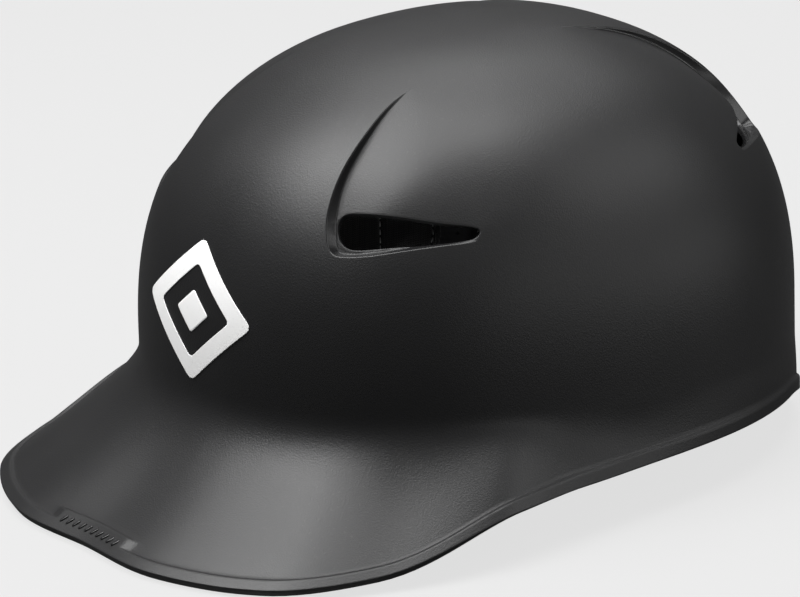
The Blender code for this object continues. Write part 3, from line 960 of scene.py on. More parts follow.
def scuff_sheen_dust_group():
    tree, given, result = new_group(
        "rubbed_edges_and_dust", {"Edge mask": 0.0, "Facing up": 0.0}, ("Rub", "Dust"))
    place = given["Vector"]
    # The edge mask, broken by noise, lightens the cut edges: partly scuffing, partly a painted sheen.
    broken = remap(tree, noise(tree, place, 120.0, 5.0), From_Min=0.42, From_Max=0.62)
    speck = remap(tree, noise(tree, place, 900.0, 2.0), From_Min=0.64, From_Max=0.74)
    drift = noise(tree, place, 14.0, 3.0)
    dust = maths(tree, "MULTIPLY", maths(tree, "MULTIPLY", speck, drift), given["Facing up"],
                 clamp=True)
    wire(tree, result, Rub=maths(tree, "MULTIPLY", given["Edge mask"], broken, clamp=True),
         Dust=dust)
    return tree


GRAIN = grain_group()
SCUFF_SHEEN_DUST = scuff_sheen_dust_group()


def object_place(tree):
    return put(tree, "ShaderNodeTexCoord").outputs["Object"]


def facing_up(tree):
    normal = put(tree, "ShaderNodeNewGeometry").outputs["Normal"]
    return maths(tree, "MAXIMUM", put(tree, "ShaderNodeSeparateXYZ", Vector=normal).outputs["Z"], 0.0)


def attribute(tree, name):
    return put(tree, "ShaderNodeAttribute", {"attribute_name": name}).outputs["Fac"]


# %% The shell's plastic
def shell_plastic():
    made, tree, shader = new_material("black_moulded_plastic", IOR=1.38)
    place = object_place(tree)
    polish = attribute(tree, "polish")
    grain = use_group(tree, GRAIN, Vector=place, Pebbles_per_metre=1900.0, Smooth_mask=polish)
    scuff_sheen_dust = use_group(tree, SCUFF_SHEEN_DUST, Vector=place, Edge_mask=attribute(tree, "wear_and_sheen"),
                    Facing_up=facing_up(tree))
    pigment = blend_colours(tree, grain["Shade"], (0.0078, 0.0078, 0.0082, 1),
                            (0.0106, 0.0106, 0.0110, 1))
    # Cut edges lighter: partly scuffed plastic, partly a painted edge sheen.
    scuffed_and_sheened = blend_colours(tree, maths(tree, "MULTIPLY", scuff_sheen_dust["Rub"], 0.35), pigment,
                           (0.025, 0.025, 0.026, 1))
    dusty = blend_colours(tree, maths(tree, "MULTIPLY", scuff_sheen_dust["Dust"], 0.10), scuffed_and_sheened,
                          (0.20, 0.19, 0.18, 1))
    satin = remap(tree, grain["Shade"], To_Min=0.40, To_Max=0.46)
    glossy = put(tree, "ShaderNodeMix", {"data_type": "FLOAT"}, Factor=polish)
    connect(tree, satin, glossy.inputs[2])
    connect(tree, 0.24, glossy.inputs[3])
    wire(tree, shader, Base_Color=dusty, Roughness=glossy.outputs[0],
         Normal=bumped(tree, grain["Height"], 0.55, 0.00009))
    return made


SHELL_PLASTIC = shell_plastic()
shell.data.materials.clear()
shell.data.materials.append(SHELL_PLASTIC)
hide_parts("shell")
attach(shell, "root")

# %% [markdown]
# ## Rows and cords that follow a path
# Stitches, the piping round a pad and the small ribs on the brim all follow a line on a
# surface. They could be modelled one by one, but one Geometry Nodes tree does it from a
# path: it spaces points along it, turns a small rounded bar at each to lie flat on the
# surface, and makes the copies real. The path carries the surface's direction as an
# attribute. A second tree sweeps a round section along a path.

# %% A path as a mesh of edges
def path_mesh(name, places, normals, closed=False):
    """Points joined in a line, each with the surface normal that a copy on it lies against."""
    mesh = bpy.data.meshes.new(name)
    mesh.from_pydata([tuple(place) for place in places], chain(0, len(places), closed), [])
    lie = mesh.attributes.new("lie", "FLOAT_VECTOR", "POINT")
    lie.data.foreach_set("vector", [c for normal in normals for c in normal])
    return link_piece(name, mesh)


def new_geometry_tree(name, inputs):
    """A geometry group whose inputs come as {name: short type}."""
    sockets = {"Geometry": ("NodeSocketGeometry", None)}
    sockets.update({label: (f"NodeSocket{kind}", None) for label, kind in inputs.items()})
    return new_tree(name, "GeometryNodeTree", sockets, {"Geometry": "NodeSocketGeometry"})


def finished(tree, geometry, material):
    """Copies made real, shaded smooth and given their material."""
    solid = put(tree, "GeometryNodeRealizeInstances", Geometry=geometry)
    shaded = put(tree, "GeometryNodeSetShadeSmooth", Geometry=solid.outputs[0])
    return put(tree, "GeometryNodeSetMaterial", Geometry=shaded.outputs[0],
               Material=material).outputs[0]


def bar_row_tree():
    """Small rounded bars along a path, lying on the surface and turned by a slant."""
    tree, given, result = new_geometry_tree("bar_row", {
        "Pitch": "Float", "Bar size": "Vector", "Slant": "Float", "Roundness": "Int",
        "Material": "Material"})
    line = put(tree, "GeometryNodeMeshToCurve", Mesh=given["Geometry"])
    spaced = put(tree, "GeometryNodeResampleCurve", {"mode": "LENGTH"}, Curve=line.outputs[0],
                 Length=given["Pitch"])
    lie = put(tree, "GeometryNodeInputNamedAttribute", {"data_type": "FLOAT_VECTOR"}, Name="lie")
    flat = put(tree, "FunctionNodeAlignRotationToVector", {"axis": "Z"},
               Vector=lie.outputs["Attribute"])
    ahead = put(tree, "GeometryNodeInputTangent")
    along = put(tree, "FunctionNodeAlignRotationToVector", {"axis": "X", "pivot_axis": "Z"},
                Rotation=flat.outputs[0], Vector=ahead.outputs[0])
    turn = put(tree, "FunctionNodeAxisAngleToRotation", Axis=(0, 0, 1), Angle=given["Slant"])
    slanted = put(tree, "FunctionNodeRotateRotation", {"rotation_space": "LOCAL"},
                  Rotation=along.outputs[0], Rotate_By=turn.outputs[0])
    box = put(tree, "GeometryNodeMeshCube", Size=given["Bar size"])
    soft = put(tree, "GeometryNodeSubdivisionSurface", Mesh=box.outputs[0],
               Level=given["Roundness"], Edge_Crease=0.35)
    copies = put(tree, "GeometryNodeInstanceOnPoints", Points=spaced.outputs[0],
                 Instance=soft.outputs[0], Rotation=slanted.outputs[0])
    wire(tree, result, Geometry=finished(tree, copies.outputs[0], given["Material"]))
    return tree


def cord_tree():
    """A round cord swept along a path."""
    tree, given, result = new_geometry_tree(
        "round_cord", {"Radius": "Float", "Sides": "Int", "Material": "Material"})
    line = put(tree, "GeometryNodeMeshToCurve", Mesh=given["Geometry"])
    section = put(tree, "GeometryNodeCurvePrimitiveCircle", Radius=given["Radius"],
                  Resolution=given["Sides"])
    swept = put(tree, "GeometryNodeCurveToMesh", Curve=line.outputs[0],
                Profile_Curve=section.outputs[0], Fill_Caps=True)
    wire(tree, result, Geometry=finished(tree, swept.outputs[0], given["Material"]))
    return tree


BAR_ROW = bar_row_tree()
ROUND_CORD = cord_tree()


def grow(seed, tree, **values):
    """Runs a tree on a seed object and keeps the result as its plain mesh."""
    growth = seed.modifiers.new(tree.name, "NODES")
    growth.node_group = tree
    for item in tree.interface.items_tree:
        label = item.name.replace(" ", "_")
        if item.in_out == "INPUT" and label in values:
            growth[item.identifier] = values[label]
    return settle(seed)


def join(name, pieces):
    """Several finished pieces as one object."""
    bm = bmesh.new()
    for piece in pieces:
        bm.from_mesh(piece.data)
    mesh = mesh_from(name, bm)
    mesh.materials.append(pieces[0].data.materials[0])
    for piece in pieces:
        bpy.data.objects.remove(piece)
    mesh.shade_smooth()
    return link_piece(name, mesh)


print("trees:", BAR_ROW.name, ROUND_CORD.name)

# %% [markdown]
# ## Ribs on the brim's tab
# The raised edge strip widens into a tab at the middle of the brim, where the maker
# moulds a mark. A plain row of slanted ribs takes its place here. They stand a few
# tenths of a millimetre proud. They are moulded in the same plastic, but polished and
# without the grain.

# %% Tab ribs
RIB_ROW_HALF = 16.0 * MM
RIB_SPOTS = 31
RIB_FROM_EDGE = 5.2 * MM
RIB_PITCH = 3.4 * MM
RIB_SIZE = (3.6 * MM, 1.1 * MM, 0.9 * MM)
RIB_SLANT = radians(62)


def strip_place(angle, from_edge):
    """Point on top of the edge strip, and the skin's outward normal there."""
    edge, toe, down = rim_section(angle)
    out = Vector((-down.y, down.x))
    turn = radians(angle)
    normal = Vector((out.x * sin(turn), -out.x * cos(turn), out.y))
    place = edge - down * from_edge + out * STRIP_RISE
    return out_from_axis(angle, *place), normal


def add_tab_ribs():
    half = degrees(RIB_ROW_HALF / BRIM_RADIUS)
    spots = [strip_place(angle, RIB_FROM_EDGE) for angle in np.linspace(-half, half, RIB_SPOTS)]
    ribs = path_mesh("tab_ribs", *zip(*spots))
    grow(ribs, BAR_ROW, Pitch=RIB_PITCH, Bar_size=RIB_SIZE, Slant=RIB_SLANT, Roundness=2,
         Material=RIB_PLASTIC)
    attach(ribs, "root")
    print("tab ribs:", triangles(ribs), "triangles")


def rib_plastic():
    made, tree, shader = new_material("polished_black_plastic", IOR=1.38)
    grain = use_group(tree, GRAIN, Vector=object_place(tree), Pebbles_per_metre=2300.0)
    pigment = blend_colours(tree, grain["Shade"], (0.009, 0.009, 0.0095, 1),
                            (0.013, 0.013, 0.0136, 1))
    wire(tree, shader, Base_Color=pigment,
         Roughness=remap(tree, grain["Shade"], To_Min=0.20, To_Max=0.28))
    return made


RIB_PLASTIC = rib_plastic()
add_tab_ribs()

# %% [markdown]
# ## The front emblem
# The emblem is a thin vinyl transfer pressed on the forehead: a diamond ring with a small
# diamond inside. A flat cut-out would cut through the curved skin, so each point of the film
# is laid on the skin's formula, with enough points for the film to follow the curve. The
# film has a rounded edge, a soft sheen and the faint ripple that vinyl takes from the
# grain under it.

# %% Laying the film
EMBLEM_WIDTH = 60 * MM
EMBLEM_HEIGHT = 50 * MM
EMBLEM_MIDDLE = sum(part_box("emblem_ring")[i].z for i in (0, 1)) / 2
FILM = 0.35 * MM
FILM_LIFT = 0.15 * MM
RING_INNER = 0.66
HEART_SIZE = 0.30
CORNER_ROUND = 0.05
CORNER_SOFT = 0.03
FILM_SOFT = 0.006
FILM_SHOULDER = FILM - 0.08 * MM


def skin_in_front(x, z):
    """Point and normal on the forehead at a sideways place and a height."""
    return dome_hit(Vector((x, DOME_CENTRE_Y, z)), Vector((0, -1, 0)))


def diamond_outline(size, per_side):
    """A rhombus with slightly rounded corners, in shares of the emblem's half size."""
    outline = []
    for i in range(4 * per_side):
        corner, t = divmod(i / per_side, 1)
        turn = pi / 2 * corner
        a, b = np.array([cos(turn), sin(turn)]), np.array([-sin(turn), cos(turn)])
        spot = a * (1 - t) + b * t
        pull = CORNER_ROUND * np.exp(-min(t, 1 - t) / CORNER_SOFT)
        outline.append(spot * (1 - pull) * size)
    return np.array(outline)


def film_from_rows(name, rows, closed, fill_last):
    """A thin film from rows of flat points, with a cap over the last row if asked."""
    bm = bmesh.new()
    grid = []
    for flat_row, lift in rows:
        line = []
        for flat in flat_row:
            x = round(float(flat[0]) * EMBLEM_WIDTH / 2, 6)
            z = round(EMBLEM_MIDDLE + float(flat[1]) * EMBLEM_HEIGHT / 2, 6)
            place, normal = skin_in_front(x, z)
            line.append(bm.verts.new(place + normal * lift))
        grid.append(line)
    count = len(grid[0])
    pairs = list(zip(grid, grid[1:])) + ([(grid[-1], grid[0])] if closed else [])
    for near, far in pairs:
        for i in range(count):
            j = (i + 1) % count
            bm.faces.new((near[i], near[j], far[j], far[i]))
    if fill_last:
        middle = bm.verts.new(skin_in_front(0.0, round(EMBLEM_MIDDLE, 6))[0] + Vector((0, -FILM, 0)))
        for i in range(count):
            bm.faces.new((grid[-1][i], grid[-1][(i + 1) % count], middle))
        bm.faces.new(grid[0][::-1])
    bmesh.ops.recalc_face_normals(bm, faces=bm.faces)
    return finish_mesh(name, bm)


def flat_rows(first, last, count):
    """Sizes across the flat of the film, each with its lift."""
    return [(size, FILM) for size in np.linspace(first, last, count)]


def add_emblem():
    ring_rows = [(RING_INNER, FILM_LIFT), (RING_INNER, FILM_SHOULDER), (RING_INNER + FILM_SOFT, FILM)]
    ring_rows += flat_rows(RING_INNER + 2 * FILM_SOFT, 1 - 2 * FILM_SOFT, 9)
    ring_rows += [(1 - FILM_SOFT, FILM), (1, FILM_SHOULDER), (1, FILM_LIFT)]
    heart_rows = [(HEART_SIZE, FILM_LIFT), (HEART_SIZE, FILM_SHOULDER)]
    heart_rows += flat_rows(HEART_SIZE - FILM_SOFT, 0.03, 10)
    shapes = {"emblem_ring": (ring_rows, 60, True), "emblem_heart": (heart_rows, 24, False)}
    for node, (sizes, per_side, closed) in shapes.items():
        rows = [(diamond_outline(size, per_side), lift) for size, lift in sizes]
        film = film_from_rows(f"{node}_film", rows, closed, not closed)
        film.data.materials.append(VINYL)
        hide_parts(node)
        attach(film, "root")
        print(film.name, triangles(film), "triangles")


# %% White vinyl
def vinyl():
    made, tree, shader = new_material("white_vinyl", IOR=1.45)
    place = object_place(tree)
    grain = use_group(tree, GRAIN, Vector=place, Pebbles_per_metre=1300.0)
    scuff_sheen_dust = use_group(tree, SCUFF_SHEEN_DUST, Vector=place, Edge_mask=0.25, Facing_up=0.6)
    white = blend_colours(tree, grain["Shade"], (0.80, 0.80, 0.79, 1), (0.88, 0.88, 0.88, 1))
    marked = blend_colours(tree, maths(tree, "MULTIPLY", scuff_sheen_dust["Dust"], 0.5), white,
                           (0.45, 0.45, 0.44, 1))
    wire(tree, shader, Base_Color=marked,
         Roughness=remap(tree, grain["Shade"], To_Min=0.34, To_Max=0.46),
         Normal=bumped(tree, grain["Height"], 0.25, 0.00004))
    return made


VINYL = vinyl()
add_emblem()

# %% [markdown]
# ## The foam liner
# Inside the shell, eight panels of firm closed-cell foam carry the impact. On a bench they
# come out as moulded blocks about 11 mm thick with rounded edges, cut by shallow flexing
# channels and dimpled with vent holes. Each panel is laid on the skin's formula at the
# shell's inner face: a dense sheet is given a second face further in, and the channels and
# dimples are pressed only into the face that looks at the head.

# %% Laying a panel
FOAM = 11.0 * MM
FOAM_DEPTH = WALL + 1.8 * MM
EDGE_ROWS = (0.0, 0.25, 0.9, 2.0, 3.5)
PANEL_PITCH = 1.6 * MM
PANEL_ROUND = 3.0 * MM
PANEL_CORNER = 9.0 * MM
CHANNEL_DEPTH = 2.6 * MM
CHANNEL_HALF = 1.9 * MM
DIMPLE_RADIUS = 3.0 * MM
DIMPLE_DEPTH = 3.2 * MM
DIMPLE_PITCH = 22 * MM
BACK_ROUND = 0.8 * MM


def band(start, end, top, bottom):
    """A skin patch between two angles and two heights, with its width and height."""
    middle = (top + bottom) / 2
    radius = plan_radius((start + end) / 2)
    size = (radians(end - start) * radius, (top - bottom) * 1.06)
    return lambda u, v: skin_at_height(start + (end - start) * u, bottom + (top - bottom) * v), size


def spine(half_width, front, rear):
    """A strip over the crown, from front to back, with its width and length."""
    reach = DOME_FRONT * 0.9

    def on_skin(u, v):
        lean = radians(-front + (front + rear) * v)
        crown_y = DOME_CENTRE_Y + CROWN_SHIFT
        start = Vector(((2 * u - 1) * half_width, crown_y + reach * sin(lean), WALL_TOP))
        return dome_hit(start, Vector((0, 0, 1)))
    length = reach * (sin(radians(front)) + sin(radians(rear))) * 1.12
    return on_skin, (2 * half_width, length)


def panel_lines(length, pitch, edge_rows):
    """Places along one side of a panel in metres: close rows at both ends, even ones between."""
    edge = np.array(edge_rows) * MM
    inner = length - 2 * edge[-1]
    steps = max(2, round(inner / pitch))
    between = edge[-1] + inner * np.arange(1, steps) / steps
    return np.concatenate([edge, between, (length - edge)[::-1]])


def corner_squeeze(along, length, across, corner):
    """Pulls a place in towards the middle near the panel's ends, which rounds its corners."""
    from_end = min(along, length - along)
    if from_end >= corner:
        return 1.0
    reach = across / 2 - corner + (corner ** 2 - (corner - from_end) ** 2) ** 0.5
    return reach / (across / 2)


def panel_grid(on_skin, size, pitch, edge_rows, corner):
    """An open sheet over a patch, with each point's own place on it in metres."""
    width, height = size
    xs, ys = (panel_lines(length, pitch, edge_rows) for length in size)
    bm = bmesh.new()
    bmesh.ops.create_grid(bm, x_segments=len(xs) - 1, y_segments=len(ys) - 1, size=0.5)
    spots, skins = [], []
    for vert in bm.verts:
        x = xs[round((vert.co.x + 0.5) * (len(xs) - 1))]
        y = ys[round((vert.co.y + 0.5) * (len(ys) - 1))]
        y = height / 2 + (y - height / 2) * corner_squeeze(x, width, height, corner)
        spots.append((x, y))
        skins.append(on_skin(x / width, y / height))
    return bm, spots, skins


def edge_distance(x, y, size, corner):
    """Distance from a place on a round-cornered panel to its outline."""
    dx = abs(x - size[0] / 2) - (size[0] / 2 - corner)
    dy = abs(y - size[1] / 2) - (size[1] / 2 - corner)
    return corner - hypot(max(dx, 0), max(dy, 0)) - min(max(dx, dy), 0)


def quarter_round(distance, radius):
    """How far a rounded edge falls short of the full face, at a distance from the outline."""
    short = min(max(1 - distance / radius, 0), 1)
    return radius * (1 - (1 - short ** 2) ** 0.5)


def head_face_cut(x, y, size, channels):
    """Depth of the channels and dimples on the head side."""
    width, height = size
    cells = channels + 1
    pitch = width / cells
    between_cells = 0.5 * pitch < x < width - 0.5 * pitch
    nearest = abs(x - round(x / pitch) * pitch) if between_cells else 1.0
    cut = CHANNEL_DEPTH * (1 - ease((nearest / CHANNEL_HALF) ** 2))
    centre_x = (int(min(x / pitch, cells - 0.01)) + 0.5) * pitch
    rows = max(1, round(height / DIMPLE_PITCH))
    centre_y = (int(min(y / height * rows, rows - 0.01)) + 0.5) * height / rows
    away = hypot(x - centre_x, y - centre_y)
    return max(cut, DIMPLE_DEPTH * float(1 - ease((away / DIMPLE_RADIUS - 0.55) / 0.45)))


def add_panel(name, patch, channels):
    on_skin, size = patch
    corner = min(PANEL_CORNER, min(size) / 2 - 1 * MM)
    bm, spots, skins = panel_grid(on_skin, size, PANEL_PITCH, EDGE_ROWS, corner)
    outer, inner = [], []
    for (x, y), (place, normal) in zip(spots, skins):
        rim = edge_distance(x, y, size, corner)
        back = quarter_round(rim, BACK_ROUND)
        face = FOAM - quarter_round(rim, PANEL_ROUND) - head_face_cut(x, y, size, channels)
        outer.append(place - normal * (FOAM_DEPTH + back))
        inner.append(place - normal * (FOAM_DEPTH + face))
    close_wall(bm, outer, inner)
    bmesh.ops.recalc_face_normals(bm, faces=bm.faces)
    panel = finish_mesh(f"{name}_panel", bm)
    panel.data.materials.append(FOAM_SKIN)
    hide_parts(name)
    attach(panel, "root")
    return triangles(panel)


# %% Closed-cell foam
def foam_cells_group():
    tree, given, result = new_group("foam_cells", {"Cells per metre": 900.0}, ("Height", "Pore"))
    place, pitch = given["Vector"], given["Cells per metre"]
    cells, large = [put(tree, "ShaderNodeTexVoronoi", {"feature": "F1"}, Vector=place,
                        Scale=scale).outputs["Distance"]
                    for scale in (pitch, maths(tree, "MULTIPLY", pitch, 0.28))]
    pits = remap(tree, large, From_Min=0.05, From_Max=0.22)
    beads = maths(tree, "MULTIPLY", cells, -0.5)
    swell = maths(tree, "MULTIPLY", noise(tree, place, 60.0, 3.0), 0.8)
    # Pore is 0 in the cells' pits, where the foam colour is painted darker as shade.
    wire(tree, result, Height=maths(tree, "ADD", maths(tree, "ADD", beads, pits), swell),
         Pore=pits)
    return tree


def foam_skin():
    made, tree, shader = new_material("charcoal_foam", IOR=1.4, Specular_IOR_Level=0.35)
    place = object_place(tree)
    cells = use_group(tree, FOAM_CELLS, Vector=place, Cells_per_metre=800.0)
    cloudy = noise(tree, place, 45.0, 4.0)
    tone = blend_colours(tree, cloudy, (0.030, 0.030, 0.033, 1), (0.052, 0.052, 0.056, 1))
    # Painted shade: the foam is darker in the pits of its cells.
    pit_shaded = blend_colours(tree, cells["Pore"], (0.014, 0.014, 0.015, 1), tone)
    wire(tree, shader, Base_Color=pit_shaded, Roughness=remap(tree, cloudy, To_Min=0.62, To_Max=0.84),
         Normal=bumped(tree, cells["Height"], 0.6, 0.00022))
    return made


FOAM_CELLS = foam_cells_group()
FOAM_SKIN = foam_skin()
PANELS = {
    "front_liner": (band(-38, 38, 0.093, 0.052), 4),
    "left_liner": (band(43, 127, 0.093, 0.030), 4),
    "right_liner": (band(-127, -43, 0.093, 0.030), 4),
    "rear_left_liner": (band(132, 178, 0.096, 0.020), 2),
    "rear_right_liner": (band(-178, -132, 0.096, 0.020), 2),
    "left_crown_liner": (band(66, 122, 0.141, 0.104), 2),
    "right_crown_liner": (band(-122, -66, 0.141, 0.104), 2),
    "crown_spine_liner": (spine(0.019, 60, 62), 0),
}
for panel_name, (patch, channels) in PANELS.items():
    print(panel_name, add_panel(panel_name, patch, channels), "triangles")

# %% [markdown]
# ## The comfort pads
# Five soft pads sit on the liner with hook-and-loop tape: forehead, two sides, nape and
# crown. On the real helmet each is a foam slice sewn between two pieces of knitted cloth and
# bound with piping, so it swells between its seams. A modelled cushion looks stiff, so
# each pad starts a little too thin and the cloth simulation inflates it. The voxel
# remesh beforehand gives the cloth even cells. Seams and quilting are pressed in
# afterwards, because the remesh would wipe them out.

# %% Pad sizes
PAD_DEPTH = FOAM_DEPTH + FOAM + 1.0 * MM
PAD_THICK = 6.5 * MM
PAD_EDGE = 1.9 * MM
PAD_CROWN_REACH = 11 * MM
PAD_BACK_SLACK = 0.5 * MM
PAD_FRONT_SLACK = 0.9 * MM
PAD_VOXEL = 1.25 * MM
SWELL_CAP = 0.9 * MM
PAD_CORNER = 11 * MM
PAD_PITCH = 2.0 * MM
PAD_EDGE_ROWS = (0.0, 0.7, 1.6, 3.0)
STUFF_PRESSURE = 4.0
STUFF_BENDING = 2.0
STUFF_FRAMES = 20
SEAM_INSET = 3.4 * MM
SEAM_PRESS = 0.55 * MM
SEAM_HALF = 1.0 * MM
QUILT_PRESS = 1.5 * MM
QUILT_HALF = 2.0 * MM
QUILT_RUN_OUT = 3 * MM
NET_STEPS = 25
FACES_HEAD = 0.3
PADS = {
    # name: (patch, quilted cells across)
    "forehead_pad": (band(-33, 33, 0.088, 0.056), 5),
    "left_side_pad": (band(52, 118, 0.084, 0.040), 4),
    "right_side_pad": (band(-118, -52, 0.084, 0.040), 4),
    "nape_pad": (band(148, 212, 0.070, 0.026), 4),
    "crown_pad": (spine(0.017, 22, 22), 1),
}
HEAD_MIDDLE = Vector((0, DOME_CENTRE_Y, WALL_TOP + 10 * MM))


# %% Shape, stuffing and quilting
def pad_form(name, patch):
    """The pad before stuffing: thin at its edge and a little crowned towards the head."""
    on_skin, size = patch
    bm, spots, skins = panel_grid(on_skin, size, PAD_PITCH, PAD_EDGE_ROWS, PAD_CORNER)
    outer, inner = [], []
    for (x, y), (place, normal) in zip(spots, skins):
        rim = min(edge_distance(x, y, size, PAD_CORNER) / PAD_CROWN_REACH, 1)
        swell = (1 - (1 - max(rim, 0)) ** 2) ** 0.5
        full = PAD_THICK - PAD_BACK_SLACK - PAD_FRONT_SLACK
        thick = PAD_EDGE + (full - PAD_EDGE) * swell
        outer.append(place - normal * (PAD_DEPTH + PAD_BACK_SLACK))
        inner.append(place - normal * (PAD_DEPTH + PAD_BACK_SLACK + thick))
    close_wall(bm, outer, inner)
    bmesh.ops.recalc_face_normals(bm, faces=bm.faces)
    return finish_mesh(name, bm)


def even_cells(pad):
    remesh = pad.modifiers.new("even_cells", "REMESH")
    remesh.mode = "VOXEL"
    remesh.voxel_size = PAD_VOXEL
    settle(pad)


def points_of(piece):
    places = np.empty(len(piece.data.vertices) * 3)
    piece.data.vertices.foreach_get("co", places)
    return places.reshape(-1, 3)


def move_points(piece, places):
    piece.data.vertices.foreach_set("co", places.ravel())
    piece.data.update()


def stuff(pad):
    """Inflates the pad as cloth, and lets no point move further than the cap."""
    before = points_of(pad)
    cloth = pad.modifiers.new("stuffing", "CLOTH")
    cloth.settings.use_pressure = True
    cloth.settings.uniform_pressure_force = STUFF_PRESSURE
    cloth.settings.effector_weights.gravity = 0.0
    cloth.settings.quality = 4
    cloth.settings.bending_stiffness = STUFF_BENDING
    cloth.collision_settings.use_collision = False
    cloth.point_cache.frame_start = 1
    cloth.point_cache.frame_end = STUFF_FRAMES
    for step in range(1, STUFF_FRAMES + 1):
        bpy.context.scene.frame_set(step)
    settle(pad)
    move = points_of(pad) - before
    far = np.linalg.norm(move, axis=1)
    share = np.minimum(1, SWELL_CAP / np.maximum(far, 1e-9))
    move_points(pad, before + move * share[:, None])
    bpy.context.scene.frame_set(1)
    print(f"{pad.name}: stuffed, moved up to {far.max() / MM:.1f} mm before the cap")


def chart_of_pad(patch, places):
    """Distance across and along the pad for many points, by the nearest cell of a coarse net."""
    on_skin, (width, height) = patch
    last = NET_STEPS - 1
    shares = np.linspace(0, 1, NET_STEPS)
    skins = [[on_skin(u, v) for u in shares] for v in shares]
    net = np.array([[place - normal * (PAD_DEPTH + PAD_THICK / 2) for place, normal in row]
                    for row in skins])
    flat = net.reshape(-1, 3)
    nearest = np.array([np.linalg.norm(flat - place, axis=1).argmin() for place in places])
    row, column = (np.minimum(i, last - 1) for i in divmod(nearest, NET_STEPS))
    origin = net[row, column]
    arm = places - origin
    chart = []
    for start, far, length in ((column, net[row, column + 1], width),
                               (row, net[row + 1, column], height)):
        run = far - origin
        chart.append((shares[start] + (arm * run).sum(1) / (run ** 2).sum(1) / last) * length)
    return np.stack(chart, axis=1)


def quilt(pad, patch, cells):
    """Presses the seam line and the quilting into the head side, and stores the cloth's own map."""
    finer = pad.modifiers.new("finer", "SUBSURF")
    finer.levels = finer.render_levels = 1
    settle(pad)
    places = points_of(pad)
    chart = chart_of_pad(patch, places)
    size = patch[1]
    pitch = size[0] / cells
    moved = places.copy()
    for i, vert in enumerate(pad.data.vertices):
        toward = (HEAD_MIDDLE - vert.co).normalized()
        if vert.normal.dot(toward) < FACES_HEAD:
            continue
        x, y = chart[i]
        rim = edge_distance(x, y, size, PAD_CORNER)
        press_by = SEAM_PRESS * float(1 - ease(abs(rim - SEAM_INSET) / SEAM_HALF))
        line = round(x / pitch)
        if 0 < line < cells and rim > SEAM_INSET:
            gap = abs(x - line * pitch) / QUILT_HALF
            fade = float(ease((rim - SEAM_INSET) / QUILT_RUN_OUT))
            press_by = max(press_by, QUILT_PRESS * fade * float(1 - ease(gap)) ** 0.8)
        moved[i] -= np.array(toward) * press_by
    move_points(pad, moved)
    cloth_map = pad.data.attributes.new("cloth_place", "FLOAT_VECTOR", "POINT")
    full = np.concatenate([chart, np.zeros((len(chart), 1))], axis=1)
    cloth_map.data.foreach_set("vector", full.ravel())


# %% Piping and stitches
PIPING_RADIUS = 1.05 * MM
STITCH_PITCH = 3.1 * MM
STITCH_SIZE = (2.3 * MM, 0.55 * MM, 0.45 * MM)


def outline_places(size, inset, steps):
    """Places round a pad at an inset from its round-cornered outline."""
    places = []
    for turn in np.linspace(0, 2 * pi, steps, endpoint=False):
        ray = np.array([cos(turn), sin(turn)])
        low, high = 0.0, 1.0
        for _ in range(22):
            middle = (low + high) / 2
            x, y = np.array(size) / 2 + ray * middle
            inside_now = edge_distance(x, y, size, PAD_CORNER) > inset
            low, high = (middle, high) if inside_now else (low, middle)
        places.append(np.array(size) / 2 + ray * low)
    return evenly(np.array([*places, places[0]]), 2.5 * MM)[0][:-1]


def lay_on_pad(pad, patch, places):
    """Drops patch places onto the pad's head side; returns points and directions to the head."""
    on_skin, size = patch
    tree = BVHTree.FromPolygons([v.co for v in pad.data.vertices],
                                [tuple(f.vertices) for f in pad.data.polygons])
    points, normals = [], []
    for x, y in places:
        place, normal = on_skin(x / size[0], y / size[1])
        start = place - normal * (PAD_DEPTH + PAD_THICK + 8 * MM)
        hit, facing, _, _ = tree.ray_cast(start, normal, 16 * MM)
        if hit is not None:
            points.append(hit + facing * 0.05 * MM)
            normals.append(facing)
    return points, normals


def add_piping(pad, patch):
    on_skin, size = patch
    points, normals = [], []
    for x, y in outline_places(size, 0.15 * MM, 150):
        place, normal = on_skin(x / size[0], y / size[1])
        points.append(place - normal * (PAD_DEPTH + PAD_BACK_SLACK + PAD_EDGE / 2))
        normals.append(-normal)
    piping = path_mesh(f"{pad.name}_piping", points, normals, closed=True)
    return grow(piping, ROUND_CORD, Radius=PIPING_RADIUS, Sides=10, Material=PIPING_CLOTH)


def add_stitches(pad, patch, cells):
    on_skin, size = patch
    rows = [(outline_places(size, SEAM_INSET, 120), True)]
    for line in range(1, cells):
        x = size[0] * line / cells
        ys = np.arange(SEAM_INSET + QUILT_RUN_OUT, size[1] - SEAM_INSET - QUILT_RUN_OUT, 1.5 * MM)
        rows.append(([(x, y) for y in ys], False))
    made = []
    for places, closed in rows:
        row = path_mesh(f"{pad.name}_row", *lay_on_pad(pad, patch, places), closed=closed)
        made.append(grow(row, BAR_ROW, Pitch=STITCH_PITCH, Bar_size=STITCH_SIZE, Slant=0.0,
                         Roundness=1, Material=THREAD))
    return join(f"{pad.name}_stitches", made)


